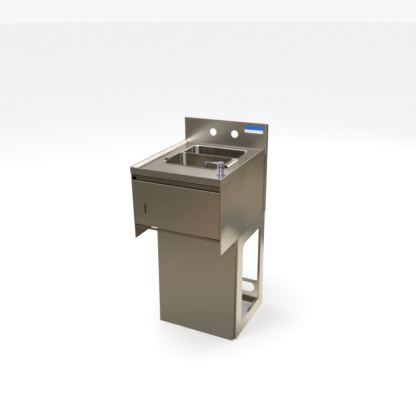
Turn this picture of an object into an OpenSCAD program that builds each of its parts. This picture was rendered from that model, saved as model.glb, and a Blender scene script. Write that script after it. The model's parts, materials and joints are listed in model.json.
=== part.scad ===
// Underbar hand sink on a sheet metal pedestal, with a towel cabinet, a soap pump
// and a lift-out strainer basket.
// Inside place(), Y counts back from the front of the rim and Z counts up from the floor.

/* [Overall] */
// Width across the rim of the deck
unit_w = 381; // [360:1:480]
// Depth from the front of the rim to the back of the splash
unit_d = 484; // [470:1:600]
// Height of the rim above the floor
rim_z = 774; // [720:1:920]
// Thickness of the stainless sheet
sheet_t = 1.5; // [1:0.1:2]

/* [Deck] */
// Depth of the deck below the rim
rim_drop = 13; // [8:1:18]
// Width of the flat on top of the rim
rim_flat = 5; // [4:0.5:10]
// Width of the slope from the rim down to the deck
rim_slope_w = 8; // [4:1:14]
// Height of the apron under the rim
apron_h = 28; // [22:1:40]

/* [Backsplash] */
// Height of the splash above the rim
splash_h = 102; // [80:1:200]
// Depth of the hollow box behind the splash face
splash_box_d = 34; // [28:1:60]
// Fall of the splash's top from front to back
splash_fall = 8; // [0:1:16]
// Depth of the splash's side returns
splash_return = 18; // [10:1:20]
// Height of the lip behind the splash's top
splash_lip = 25; // [10:1:30]
// Diameter of the faucet holes
faucet_hole_d = 32; // [22:1:38]
// Distance between the faucet holes
faucet_spacing = 101.6; // [95:0.1:205]
// Height of the faucet holes above the rim
faucet_z = 46; // [30:1:60]

/* [Bowl] */
// Width of the deck from the side of the rim to the bowl
bowl_side = 63.5; // [62:0.5:90]
// Depth of the deck from the front of the rim to the bowl
bowl_front_y = 125; // [122:1:150]
// Depth of the bowl below the deck
bowl_h = 230; // [150:1:250]
// Radius of the bowl's upright corners
bowl_r = 26; // [16:1:32]
// Distance from the bowl's back edge to the splash
bowl_back_gap = 25; // [16:1:40]
// Width of the flange that carries the bowl under the deck
bowl_flange = 10; // [6:1:12]

/* [Basket] */
// Length of the strainer basket from front to back
basket_l = 165; // [120:1:200]
// Depth of the strainer basket
basket_h = 90; // [50:1:120]
// Gap between the basket's walls and the bowl
basket_clear = 6; // [2:0.5:8]
// Gap between the basket and the bowl's front wall
basket_front_gap = 7; // [2:1:40]
// Thickness of the basket's sheet
basket_t = 1.2; // [0.8:0.1:2]
// Length of the tabs that rest on the deck
tab_l = 100; // [60:1:110]
// Reach of the tabs past the bowl's edge
tab_reach = 14; // [10:1:18]
// Rise of the tabs above the deck
tab_rise = 6; // [3:0.5:9]
// Width of the tabs' slanting outer edge
tab_slant = 5; // [3:0.5:8]
// Side of the square holes in the basket's floor
mesh_hole = 8; // [5:0.5:9]
// Distance between the centres of the holes
mesh_pitch = 12.5; // [11:0.5:20]

/* [Drain] */
// Diameter of the drain tailpiece
tail_d = 38.1; // [32:0.1:40]
// Length of the tailpiece below its coupling nut
tail_l = 45; // [20:1:60]
// Diameter of the drain flange in the bowl
drain_flange_d = 64; // [60:1:80]
// Length of the drain body below the bowl
drain_body_l = 30; // [26:1:40]

/* [Towel cabinet] */
// Distance from the rim down to the top of the door
door_top = 52; // [48:1:70]
// Height of the door
door_h = 183; // [150:1:190]
// Depth of the door's turned edges
door_edge = 12; // [10:1:14]
// Gap between the door and each side panel's hem
door_gap = 1; // [0.5:0.5:3]
// Width of the sight slot
sight_w = 7.5; // [5:0.5:12]
// Height of the sight slot
sight_h = 41; // [20:1:60]
// Distance from the door's left edge to the sight slot
sight_in = 52; // [30:1:90]
// Height of the sight slot above the door's bottom edge
sight_up = 74; // [50:1:100]
// Setback of the rail above the door
rail_recess = 5; // [3:1:8]
// Width of the finger notch in the rail
notch_w = 21; // [12:1:40]
// Height of the finger notch in the rail
notch_h = 11; // [6:1:14]
// Width of the slot that hands out the towels
towel_slot_w = 48; // [30:1:60]
// Width of the tray at each end of the slot
towel_slot_end = 20; // [16:1:60]
// Diameter of the door's pivot pins
pivot_d = 5; // [4:0.5:6]

/* [Side panels] */
// Height of the side panels below the door
side_below = 65; // [50:1:95]
// Width of the hem on the front of each side panel
side_hem = 3; // [2:0.5:5]

/* [Pedestal] */
// Distance from the front of the rim to the leg frames
frame_front = 169; // [150:1:220]
// Forward lean of the leg frames over their height
frame_lean = 14; // [0:1:25]
// Distance from the back of the splash to the leg frames
frame_back = 3; // [2:1:10]
// Width of the leg frame's front upright
upright_front = 57; // [40:1:80]
// Width of the leg frame's rear upright
upright_rear = 48; // [42:1:70]
// Height of the leg frame's top bar
bar_top = 53; // [48:1:80]
// Height of the leg frame's bottom bar
bar_bottom = 51; // [46:1:80]
// Radius of the window's upper front corner
window_r = 22; // [10:1:30]
// Width of the frame's turned edges
frame_flange = 18; // [16:1:25]
// Width of the foot that lies on the floor
foot_w = 30; // [20:1:50]
// Depth of the window's turned edges
window_edge = 10; // [6:1:14]
// Distance from each side of the rim to the front panel of the pedestal
panel_side = 10.5; // [7:0.5:30]
// Distance that the top of the front panel stands ahead of the leg frames
panel_ahead = 3; // [1:0.5:20]
// Forward lean of the front panel over its height
panel_lean = 26; // [24:1:40]
// Height of the rail between the front panel and the side panels
front_rail_h = 33; // [25:1:45]
// Depth of the front rail
front_rail_d = 30; // [20:1:40]
// Diameter of the holes that join a neighbour to the frame
join_hole_d = 6.6; // [5:0.1:9]

/* [Rear cross-member] */
// Height of the cross-member's web
cross_h = 110; // [90:1:140]
// Height of the cross-member above the floor
cross_z = 18; // [6:1:60]
// Depth of the cross-member's flanges
cross_flange = 28; // [16:1:40]
// Distance from the back of the splash to the web
cross_back = 28; // [24:1:34]
// Height of the long hole in the web
cross_hole_h = 54; // [30:1:60]
// Distance from each side of the rim to the long hole in the web
cross_hole_side = 34.5; // [30:0.5:80]

/* [Soap dispenser] */
// Diameter of the flange on the deck
soap_flange_d = 32; // [30:0.5:40]
// Diameter of the collar above the flange
soap_collar_d = 20.6; // [18:0.2:22]
// Height of the collar above the deck
soap_collar_h = 19.5; // [18:0.5:26]
// Diameter of the threaded shank under the deck
soap_shank_d = 25; // [22:0.5:26]
// Length of the shank below the deck
soap_shank_l = 45; // [36:1:50]
// Thickness of the pump head's skirt
head_wall = 1.5; // [1:0.1:3]
// Height of the pump head
head_h = 28; // [26:0.5:34]
// Reach of the nozzle from the middle of the head
nozzle_reach = 61; // [40:1:75]
// Diameter of the nozzle
nozzle_d = 4.8; // [3:0.2:8]
// Diameter of the pump rod
rod_d = 8; // [6:0.5:8]
// Diameter of the soap bottle
bottle_d = 46; // [40:1:50]
// Height of the soap bottle below its neck
bottle_h = 120; // [80:1:130]

/* [Hidden] */

steel = [0.66, 0.62, 0.54];
steel_pale = [0.8, 0.76, 0.68];
steel_dark = [0.45, 0.42, 0.36];
chrome = [0.78, 0.8, 0.86];
rubber = [0.12, 0.12, 0.12];
white_plastic = [0.9, 0.9, 0.88];
brass = [0.75, 0.62, 0.32];

over = 1;
run_clear = 0.06;
stand_off = 0.3;
$fn = 64;

// Deck and splash
half_w = unit_w / 2;
deck_z = rim_z - rim_drop;
under_z = deck_z - sheet_t;
apron_z = rim_z - apron_h;
rim_in = rim_flat + rim_slope_w;
rim_bend = sheet_t * tan(atan(rim_drop / rim_slope_w) / 2);
splash_y = unit_d - splash_box_d;
splash_top = rim_z + splash_h;
splash_back_z = splash_top - splash_fall;

// Side panels lie just inside the apron
side_out = half_w - sheet_t;
side_in = side_out - sheet_t;
side_end = splash_y + splash_return;

// Bowl and basket
bowl_back_y = splash_y - bowl_back_gap;
bowl_l = bowl_back_y - bowl_front_y;
bowl_w = unit_w - 2 * bowl_side;
bowl_mid_y = bowl_front_y + bowl_l / 2;
bowl_floor_z = deck_z - bowl_h;
basket_w = bowl_w - 2 * basket_clear;
basket_front_y = bowl_front_y + basket_front_gap;
basket_mid_y = basket_front_y + basket_l / 2;
basket_floor_z = deck_z - basket_h;
basket_r = bowl_r - basket_clear;
tab_back_y = basket_front_y + basket_l - basket_r;

// Drain
drain_seat = 1.5;
drain_wall = 4.5;
drain_bore_d = tail_d - 2 * drain_seat;
drain_thread_d = drain_bore_d + 2 * drain_wall;
drain_flange_t = 2;
gasket_t = 3;
locknut_h = 9;
coupling_h = drain_body_l - gasket_t - locknut_h;
coupling_wall = 5;
coupling_lip = 3;
cross_bar_w = 4;
tail_wall = 1.2;
drain_end_z = bowl_floor_z - sheet_t - drain_body_l;
coupling_z = drain_end_z - coupling_lip - stand_off;
tail_end_z = coupling_z - tail_l;

// Towel cabinet
door_z1 = rim_z - door_top;
door_z0 = door_z1 - door_h;
door_half = side_in - side_hem - door_gap;
side_z = door_z0 - side_below;
pivot_shoulder = 1.2;
pivot_boss_d = pivot_d + 2 * pivot_shoulder;
pivot_in = 2 * sheet_t + stand_off + pivot_boss_d / 2;
pivot_up = 5;
pivot_z = door_z0 + pivot_up;
door_swing = sqrt(pivot_in * pivot_in + pivot_up * pivot_up);
swing_clear = 0.8;
tray_lip_h = 11;
tray_lip_z = pivot_z - door_swing - swing_clear;
tray_z = tray_lip_z - tray_lip_h;
tray_lip_y = 2 * sheet_t;
tray_edge = 15;
slot_front = 22;
tray_stud_d = 4;
tray_stud_l = 6;
tray_stud_front = 30;
tray_stud_back = 16;
tray_nut_wall = 3;
tray_nut_h = 3;
box_gap = 10;
box_back_y = bowl_front_y - 2 * sheet_t - box_gap;
rail_gap = 3;
rail_z = door_z1 + rail_gap;
rail_edge = 12;
catch_w = 40;
catch_h = 14;
catch_d = 9;

// Soap dispenser
bottle_r = bottle_d / 2;
bottle_side_gap = 12;
bottle_back_gap = 7;
soap_x = side_in - bottle_r - bottle_side_gap;
soap_y = box_back_y - bottle_r - bottle_back_gap;
divider_gap = 5;
divider_x = soap_x - bottle_r - divider_gap;
divider_h = 150;
divider_foot = 10;
soap_plate_h = 3;
soap_hole_clear = 0.5;
soap_hole_d = soap_shank_d + 2 * soap_hole_clear;
washer_t = 2;
washer_w = 7;
washer_d = soap_shank_d + 2 * washer_w;
soap_nut_h = 8;
soap_nut_wall = 6;
soap_nut_d = soap_shank_d + 2 * soap_nut_wall;
guide_h = 7.5;
housing_d = 13.6;
housing_bore_d = 10.4;
housing_l = 40;
housing_floor = 3;
head_skirt = 14;
head_gap = 1;
head_bore_d = soap_collar_d + 2 * head_gap;
head_d = head_bore_d + 2 * head_wall;
head_edge = 2;
head_socket = 9;
piston_h = 8;
neck_wall = 2;
neck_h = 16;
bottle_wall = 1.5;
dip_d = 5;
dip_bore = 3;
nozzle_drop = 7;
nozzle_bend = 6;
nozzle_down = 5;
spring_wire = 0.9;
spring_turns = 7;
spring_steps = 14;
spring_sides = 6;
spring_rings = spring_turns * spring_steps;
guide_z = deck_z + soap_collar_h - guide_h;
piston_z1 = guide_z - 2 * stand_off;
piston_z0 = piston_z1 - piston_h;
housing_z0 = deck_z - housing_l;
spring_z0 = housing_z0 + housing_floor + spring_wire / 2 + stand_off;
spring_z1 = piston_z0 - spring_wire / 2 - stand_off;
spring_r = (housing_bore_d - spring_wire) / 2 - stand_off;
head_z0 = deck_z + soap_collar_h + 2 * stand_off;
head_z1 = head_z0 + head_h;
nozzle_z = head_z1 - nozzle_drop + nozzle_d / 2;
cap_z0 = head_z0 + head_skirt + stand_off;
cap_h = head_z1 - cap_z0;
rod_top_z = cap_z0 + head_socket;
bottle_top_z = deck_z - soap_shank_l + neck_h;

// Pedestal
frame_rear = unit_d - frame_back;
window_z0 = bar_bottom;
window_z1 = side_z - bar_top;
window_rear = frame_rear - upright_rear;
window_low_r = 6;
lap_h = 26;
lap_low = 19;
lap_gap = 8;
lap_front = frame_front + front_rail_d + lap_gap;
lap_back_in = 25;
lap_back = frame_rear - lap_back_in;
stud_d = 5;
stud_l = 12;
stud_z = side_z + lap_h / 2;
stud_count = 3;
stud_step = (lap_back - lap_front) / stud_count;
nut_h = 4;
nut_wall = 2.1;
nut_d = stud_d + 2 * nut_wall;
join_in = 40;
join_up = 39;
join_front_in = 12;
panel_top_z = side_z - front_rail_h;
panel_half = half_w - panel_side;
cross_y = unit_d - cross_back - sheet_t;
cross_hole_share = 0.61;
cross_mid_z = cross_z + cross_h * cross_hole_share;
cross_hole_half = half_w - cross_hole_side;
stile_flange = 25;
stile_z1 = splash_back_z - splash_lip - stand_off;

function frame_y(z) = frame_front - frame_lean * (side_z - z) / side_z;
function window_front(z) = frame_y(z) + upright_front;
function panel_y(z) = frame_front - panel_ahead - panel_lean * (panel_top_z - z) / panel_top_z;
function arc(y, z, r, a0, a1, n = 8) = [for (i = [0:n]) let (a = a0 + (a1 - a0) * i / n)
    [y + r * cos(a), z + r * sin(a)]];

module place() translate([0, -unit_d / 2, 0]) children();

module both_sides() {
    children();
    mirror([1, 0, 0]) children();
}

// Box between two opposite corners
module span(low, high) translate(low) cube(high - low);

// Outline in Y and Z, drawn out along X
module along_x(x0, x1) translate([x0, 0, 0]) rotate([90, 0, 90]) linear_extrude(x1 - x0) children();

// Outline in X and Z, drawn out along Y
module along_y(y0, y1) translate([0, y1, 0]) rotate([90, 0, 0]) linear_extrude(y1 - y0) children();

module rounded_rect(w, l, r) {
    square([w - 2 * r, l], center = true);
    square([w, l - 2 * r], center = true);
    for (x = [-1, 1], y = [-1, 1]) translate([x * (w / 2 - r), y * (l / 2 - r)]) circle(r);
}

module rod(d, z0, z1) translate([0, 0, z0]) cylinder(d = d, h = z1 - z0);

module tube(d, bore, z0, z1) difference() {
    rod(d, z0, z1);
    rod(bore, z0 - over, z1 + over);
}

module hex_nut(d, bore, z0, z1) difference() {
    translate([0, 0, z0]) cylinder(d = d / cos(30), h = z1 - z0, $fn = 6);
    rod(bore, z0 - over, z1 + over);
}

// Section through the rim: apron, flat top and slope down to the deck
module rim_section() polygon([[0, -apron_h], [0, 0], [rim_flat, 0], [rim_in, -rim_drop],
    [rim_in + over, -rim_drop], [rim_in + over, -rim_drop - sheet_t],
    [rim_in - rim_bend, -rim_drop - sheet_t], [rim_flat - rim_bend, -sheet_t], [sheet_t, -sheet_t],
    [sheet_t, -apron_h]]);

module deck_top() color(steel) place() difference() {
    union() {
        along_x(-half_w, half_w) translate([0, rim_z]) rim_section();
        both_sides() along_y(0, splash_y) translate([-half_w, rim_z]) rim_section();
        span([-half_w + rim_in, rim_in, under_z], [half_w - rim_in, splash_y, deck_z]);
        span([-side_in, sheet_t, apron_z], [side_in, rail_recess, apron_z + sheet_t]);
    }
    translate([0, bowl_mid_y, under_z - over]) linear_extrude(sheet_t + 2 * over)
        rounded_rect(bowl_w, bowl_l, bowl_r);
    translate([soap_x, soap_y, 0]) rod(soap_hole_d, under_z - over, deck_z + over);
}

// Section through the splash: face, sloped top and rear lip
module splash_section() polygon([[splash_y, under_z], [splash_y, splash_top], [unit_d, splash_back_z],
    [unit_d, splash_back_z - splash_lip], [unit_d - sheet_t, splash_back_z - splash_lip],
    [unit_d - sheet_t, splash_back_z - sheet_t], [splash_y + sheet_t, splash_top - sheet_t],
    [splash_y + sheet_t, under_z]]);

module backsplash() color(steel) place() difference() {
    union() {
        along_x(-half_w, half_w) splash_section();
        both_sides() along_x(side_out, half_w) polygon([[splash_y, apron_z], [unit_d, apron_z],
            [unit_d, splash_back_z - sheet_t / 2], [splash_y, splash_top - sheet_t / 2]]);
    }
    for (side = [-1, 1]) translate([side * faucet_spacing / 2, splash_y - over, rim_z + faucet_z])
        rotate([-90, 0, 0]) cylinder(d = faucet_hole_d, h = sheet_t + 2 * over);
}

// Narrow channel that closes the rear corner, lapped over the side panel's end
module rear_stile() {
    span([side_out, splash_y, side_z], [half_w, unit_d, apron_z - stand_off]);
    span([side_in - stile_flange, unit_d - sheet_t, side_z], [half_w, unit_d, apron_z - stand_off]);
    span([side_in - stile_flange, unit_d - sheet_t, side_z], [side_out - stand_off, unit_d, stile_z1]);
}

module rear_stile_right() color(steel_dark) place() rear_stile();

module rear_stile_left() color(steel_dark) place() mirror([1, 0, 0]) rear_stile();

module side_panel() {
    span([side_in, sheet_t, side_z], [side_out, side_end, under_z]);
    span([side_in - side_hem, sheet_t, side_z], [side_in, 2 * sheet_t, apron_z]);
    span([side_in - side_hem, sheet_t, side_z], [side_in, lap_front - stand_off, side_z + sheet_t]);
}

module side_panel_right() color(steel) place() side_panel();

module side_panel_left() color(steel) place() mirror([1, 0, 0]) side_panel();

module sink_bowl() color(steel) place() translate([0, bowl_mid_y, 0]) difference() {
    union() {
        translate([0, 0, bowl_floor_z - sheet_t]) linear_extrude(under_z - bowl_floor_z + sheet_t)
            rounded_rect(bowl_w + 2 * sheet_t, bowl_l + 2 * sheet_t, bowl_r + sheet_t);
        translate([0, 0, under_z - sheet_t]) linear_extrude(sheet_t)
            rounded_rect(bowl_w + 2 * bowl_flange, bowl_l + 2 * bowl_flange, bowl_r + bowl_flange);
    }
    translate([0, 0, bowl_floor_z]) linear_extrude(bowl_h) rounded_rect(bowl_w, bowl_l, bowl_r);
    rod(drain_thread_d + 2 * stand_off, bowl_floor_z - sheet_t - over, bowl_floor_z + over);
}

module at_drain() place() translate([0, bowl_mid_y, 0]) children();

module drain_flange() color(chrome) at_drain() {
    difference() {
        union() {
            rod(drain_flange_d, bowl_floor_z, bowl_floor_z + drain_flange_t);
            rod(drain_thread_d, drain_end_z, bowl_floor_z + drain_flange_t);
        }
        rod(drain_bore_d, drain_end_z - over, bowl_floor_z + drain_flange_t + over);
    }
    for (turn = [0, 90]) rotate(turn) translate([-drain_bore_d / 2 - over, -cross_bar_w / 2, bowl_floor_z])
        cube([drain_bore_d + 2 * over, cross_bar_w, drain_flange_t]);
}

module drain_gasket() color(rubber) at_drain() tube(drain_flange_d, drain_thread_d + 2 * run_clear,
    bowl_floor_z - sheet_t - gasket_t, bowl_floor_z - sheet_t);

module drain_locknut() color(brass) at_drain() hex_nut(drain_flange_d - coupling_wall,
    drain_thread_d + 2 * run_clear, bowl_floor_z - sheet_t - gasket_t - locknut_h,
    bowl_floor_z - sheet_t - gasket_t);

// Nut that draws the tailpiece's rim up against the end of the drain body
module drain_coupling_nut() color(chrome) at_drain() {
    hex_nut(drain_thread_d + 2 * coupling_wall, drain_thread_d + 2 * run_clear,
        coupling_z + coupling_lip, coupling_z + coupling_h);
    hex_nut(drain_thread_d + 2 * coupling_wall, tail_d + 2 * run_clear,
        coupling_z, coupling_z + coupling_lip);
}

module drain_tailpiece() color(chrome) at_drain() difference() {
    union() {
        rod(tail_d, tail_end_z, coupling_z - stand_off);
        rod(tail_d - 2 * stand_off, tail_end_z, drain_end_z);
        rod(drain_thread_d, coupling_z + coupling_lip, drain_end_z);
    }
    rod(tail_d - 2 * tail_wall, tail_end_z - over, drain_end_z + over);
}

module mesh_holes() {
    columns = floor((basket_w - 2 * basket_r - mesh_hole) / mesh_pitch);
    rows = floor((basket_l - 2 * basket_r - mesh_hole) / mesh_pitch);
    for (i = [0:columns], j = [0:rows])
        translate([(i - columns / 2) * mesh_pitch, (j - rows / 2) * mesh_pitch])
            square(mesh_hole, center = true);
}

// Section through a tab: up from the basket's wall, out over the bowl's edge and down to the deck
module tab_section() polygon([[-basket_clear - basket_t, 0], [-basket_clear, 0], [-basket_clear, tab_rise],
    [tab_reach - tab_slant - basket_t / 2, tab_rise], [tab_reach - basket_t, 0], [tab_reach, 0],
    [tab_reach - tab_slant, tab_rise + basket_t], [-basket_clear - basket_t, tab_rise + basket_t]]);

module strainer_basket() color(steel) place() {
    translate([0, basket_mid_y, basket_floor_z]) difference() {
        linear_extrude(basket_h + basket_t) rounded_rect(basket_w, basket_l, basket_r);
        translate([0, 0, basket_t]) linear_extrude(basket_h + basket_t)
            rounded_rect(basket_w - 2 * basket_t, basket_l - 2 * basket_t, basket_r - basket_t);
        translate([0, 0, -over]) linear_extrude(basket_t + 2 * over) mesh_holes();
    }
    both_sides() along_y(tab_back_y - tab_l, tab_back_y) translate([bowl_w / 2, deck_z]) tab_section();
}

module top_rail() color(steel) place() difference() {
    union() {
        span([-side_in, rail_recess, rail_z], [side_in, rail_recess + sheet_t, under_z]);
        span([-side_in, rail_recess, rail_z], [side_in, rail_recess + rail_edge, rail_z + sheet_t]);
    }
    span([-side_in - over, rail_recess - over, rail_z - over],
        [-side_in + notch_w, rail_recess + rail_edge + over, rail_z + notch_h]);
}

module towel_box_back() color(steel) place() {
    span([-side_in, box_back_y, tray_z + sheet_t], [side_in, box_back_y + sheet_t, under_z]);
    both_sides() span([side_in - sheet_t, box_back_y - tray_edge, tray_z + tray_edge],
        [side_in, box_back_y, under_z]);
}

// Places of the tray's four studs, each pointing in from a side panel
module at_tray_studs() both_sides() for (y = [tray_stud_front, box_back_y - tray_stud_back])
    translate([side_in, y, tray_z + (tray_lip_z - tray_z + sheet_t) / 2]) rotate([0, -90, 0]) children();

module towel_tray() color(steel) place() difference() {
    tray_body();
    at_tray_studs() rod(tray_stud_d + 2 * stand_off, -sheet_t / 2, 2 * sheet_t);
}

module tray_studs() color(chrome) place() at_tray_studs() rod(tray_stud_d, 0, tray_stud_l);

module tray_nuts() color(chrome) place() at_tray_studs()
    hex_nut(tray_stud_d + tray_nut_wall, tray_stud_d + 2 * run_clear, sheet_t, sheet_t + tray_nut_h);

module tray_body() {
    difference() {
        span([-side_in, tray_lip_y, tray_z], [side_in, box_back_y + sheet_t, tray_z + sheet_t]);
        span([-side_in + towel_slot_end, slot_front, tray_z - over],
            [divider_x - towel_slot_end / 2, slot_front + towel_slot_w, tray_z + sheet_t + over]);
    }
    span([-side_in, tray_lip_y, tray_z], [side_in, tray_lip_y + sheet_t, tray_lip_z]);
    both_sides() span([side_in - sheet_t, tray_lip_y + sheet_t, tray_z], [side_in, box_back_y, tray_lip_z]);
}

module towel_divider() color(steel) place() {
    span([divider_x - sheet_t, slot_front, tray_z + sheet_t], [divider_x, box_back_y, tray_z + divider_h]);
    span([divider_x - sheet_t, slot_front, tray_z + sheet_t], [divider_x + divider_foot, box_back_y,
        tray_z + 2 * sheet_t]);
}

module towel_door() color(steel) place() difference() {
    span([-door_half, 0, door_z0], [door_half, door_edge, door_z1]);
    span([-door_half + sheet_t, sheet_t, door_z0 + sheet_t],
        [door_half - sheet_t, door_edge + over, door_z1 - sheet_t]);
    translate([-door_half + sight_in, -over, door_z0 + sight_up]) translate([-sight_w / 2, 0, -sight_h / 2])
        cube([sight_w, sheet_t + 2 * over, sight_h]);
    translate([-door_half - over, pivot_in, pivot_z]) rotate([0, 90, 0])
        cylinder(d = pivot_d + 2 * run_clear, h = 2 * door_half + 2 * over);
}

// Pin with a shoulder, welded to the inside of each side panel
module door_pivot_pins() color(chrome) place() both_sides() translate([0, pivot_in, pivot_z])
    rotate([0, 90, 0]) {
        rod(pivot_d, door_half - pivot_boss_d, side_in);
        rod(pivot_boss_d, door_half + stand_off, side_in);
    }

// Magnet block under the rail, behind the door's top edge
module door_catch() color(rubber) place() span([-catch_w / 2, door_edge + stand_off, door_z1 - catch_h],
    [catch_w / 2, door_edge + stand_off + catch_d, rail_z]);

// Outline of a leg frame, with its window
module frame_outline() difference() {
    polygon([[frame_y(0), 0], [frame_rear, 0], [frame_rear, side_z], [frame_y(side_z), side_z]]);
    polygon(concat(
        arc(window_front(window_z0) + window_low_r, window_z0 + window_low_r, window_low_r, 180, 270),
        arc(window_rear - window_low_r, window_z0 + window_low_r, window_low_r, 270, 360),
        arc(window_rear - window_low_r, window_z1 - window_low_r, window_low_r, 0, 90),
        arc(window_front(window_z1) + window_r, window_z1 - window_r, window_r, 90, 180)));
    for (p = [[window_front(join_up) - join_front_in, join_up], [frame_rear - join_in, join_up],
        [frame_rear - join_in, window_z1 + bar_top / 4]]) translate(p) circle(d = join_hole_d);
}

module leg_frame() {
    along_x(side_in, side_out) frame_outline();
    along_x(side_in - frame_flange, side_in) polygon([[frame_y(0), 0], [frame_y(0) + sheet_t, 0],
        [frame_y(side_z) + sheet_t, side_z], [frame_y(side_z), side_z]]);
    span([side_in - frame_flange, frame_rear - sheet_t, 0], [side_in, frame_rear, side_z - lap_low]);
    span([side_in - foot_w, frame_y(0), 0], [side_in, frame_rear, sheet_t]);
    span([side_in - window_edge, window_rear, window_z0], [side_in, window_rear + sheet_t, window_z1]);
    span([side_in - window_edge, window_front(window_z0), window_z0 - sheet_t],
        [side_in, window_rear + sheet_t, window_z0]);
    span([side_in - sheet_t, lap_front, side_z - lap_low], [side_in, lap_back, side_z + lap_h]);
}

module lap_holes() for (i = [0:stud_count - 1])
    translate([side_in, lap_front + (2 * i + 1) * stud_step / 2, stud_z]) rotate([0, -90, 0]) children();

module leg_frame_right() color(steel_pale) place() difference() {
    leg_frame();
    lap_holes() rod(stud_d + 2 * stand_off, -sheet_t / 2, 2 * sheet_t);
}

module leg_frame_left() color(steel_pale) place() mirror([1, 0, 0]) difference() {
    leg_frame();
    lap_holes() rod(stud_d + 2 * stand_off, -sheet_t / 2, 2 * sheet_t);
}

module frame_studs() color(chrome) place() both_sides() lap_holes() rod(stud_d, 0, stud_l);

module frame_nuts() color(chrome) place() both_sides() lap_holes()
    hex_nut(nut_d, stud_d + 2 * run_clear, sheet_t, sheet_t + nut_h);

module front_crossmember() color(steel_dark) place() {
    span([-side_in, frame_front + sheet_t, panel_top_z], [side_in, frame_front + 2 * sheet_t, side_z]);
    for (z = [panel_top_z, side_z - sheet_t]) span([-side_in + side_hem, frame_front + sheet_t, z],
        [side_in - side_hem, frame_front + sheet_t + front_rail_d, z + sheet_t]);
}

module cross_hole() translate([0, cross_mid_z]) {
    middle_half = cross_hole_half - cross_hole_h / 2;
    square([2 * middle_half, cross_hole_h], center = true);
    for (side = [-1, 1]) translate([side * middle_half, 0]) circle(d = cross_hole_h);
}

module rear_crossmember() color(steel_pale) place() {
    difference() {
        span([-side_in, cross_y, cross_z], [side_in, cross_y + sheet_t, cross_z + cross_h]);
        along_y(cross_y - over, cross_y + sheet_t + over) cross_hole();
    }
    flange_half = side_in - window_edge - sheet_t;
    for (z = [cross_z, cross_z + cross_h - sheet_t]) span([-flange_half, cross_y - cross_flange, z],
        [flange_half, cross_y, z + sheet_t]);
}

// Leaning front panel with wedge shaped sides that reach back to the leg frames
module pedestal_front() color(steel) place() {
    along_x(-panel_half, panel_half) polygon([[panel_y(0), 0], [panel_y(0) + sheet_t, 0],
        [panel_y(panel_top_z) + sheet_t, panel_top_z], [panel_y(panel_top_z), panel_top_z]]);
    both_sides() along_x(panel_half - sheet_t, panel_half) polygon([[panel_y(0), 0], [frame_y(0), 0],
        [frame_y(panel_top_z), panel_top_z], [panel_y(panel_top_z), panel_top_z]]);
}

module at_soap() place() translate([soap_x, soap_y, 0]) children();

// Ring on the deck, round the foot of the collar
module soap_flange() color(chrome) at_soap() translate([0, 0, deck_z]) rotate_extrude() polygon([
    [soap_collar_d / 2 + run_clear, 0], [soap_flange_d / 2, 0], [soap_flange_d / 2, soap_plate_h / 3],
    [(soap_collar_d + soap_plate_h) / 2, soap_plate_h], [soap_collar_d / 2 + run_clear, soap_plate_h]]);

// Collar that guides the pump rod and screws on to the shank
module soap_collar() color(chrome) at_soap() difference() {
    rod(soap_collar_d, deck_z, deck_z + soap_collar_h);
    rod(housing_d + 2 * run_clear, deck_z - over, guide_z);
    rod(rod_d + 2 * run_clear, guide_z - over, deck_z + soap_collar_h + over);
}

module soap_shank() color(white_plastic) at_soap()
    tube(soap_shank_d, housing_d + 2 * run_clear, deck_z - soap_shank_l, deck_z);

module soap_washer() color(rubber) at_soap()
    tube(washer_d, soap_shank_d + 2 * run_clear, under_z - washer_t, under_z);

module soap_locknut() color(white_plastic) at_soap() hex_nut(soap_nut_d, soap_shank_d + 2 * run_clear,
    under_z - washer_t - soap_nut_h, under_z - washer_t);

module soap_bottle() color(white_plastic) at_soap() difference() {
    translate([0, 0, bottle_top_z]) rotate_extrude() polygon([[soap_shank_d / 2 + run_clear, 0],
        [soap_shank_d / 2 + neck_wall, 0], [soap_shank_d / 2 + neck_wall, -neck_h], [bottle_r, -neck_h * 2],
        [bottle_r, -neck_h - bottle_h], [0, -neck_h - bottle_h], [0, -neck_h - bottle_h + bottle_wall],
        [bottle_r - bottle_wall, -neck_h - bottle_h + bottle_wall], [bottle_r - bottle_wall, -neck_h * 2],
        [soap_shank_d / 2 + run_clear, -neck_h - bottle_wall]]);
}

module pump_housing() color(white_plastic) at_soap() difference() {
    rod(housing_d, housing_z0, guide_z - stand_off);
    rod(housing_bore_d, housing_z0 + housing_floor, guide_z);
    rod(dip_bore, housing_z0 - over, housing_z0 + housing_floor + over);
}

module dip_tube() color(white_plastic) at_soap() tube(dip_d, dip_bore,
    bottle_top_z - neck_h - bottle_h + 2 * bottle_wall, housing_z0);

// Point k of ring i round the spring's wire
function wire_point(i, k) = let (a = 360 * i / spring_steps, b = 360 * k / spring_sides,
    r = spring_r + spring_wire / 2 * cos(b), rise = (spring_z1 - spring_z0) * i / spring_rings)
    [r * cos(a), r * sin(a), spring_z0 + rise + spring_wire / 2 * sin(b)];

module pump_spring() color(chrome) at_soap() {
    s = spring_sides;
    last = spring_rings * s;
    points = [for (i = [0:spring_rings], k = [0:s - 1]) wire_point(i, k)];
    caps = [[for (k = [0:s - 1]) k], [for (k = [s - 1:-1:0]) last + k]];
    sides = [for (i = [0:s:last - s], k = [0:s - 1]) let (n = (k + 1) % s)
        each [[i + k, i + s + k, i + n], [i + n, i + s + k, i + s + n]]];
    polyhedron(points, concat(caps, sides));
}

module pump_rod() color(chrome) at_soap() {
    rod(rod_d, piston_z0, rod_top_z - stand_off);
    rod(housing_bore_d - 2 * run_clear, piston_z0, piston_z1);
}

// Sleeve of the head, which slides down over the collar
module pump_skirt() color(chrome) at_soap() difference() {
    rod(head_d, head_z0, head_z0 + head_skirt);
    rod(head_bore_d, head_z0 - over, head_z0 + head_skirt + over);
}

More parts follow.
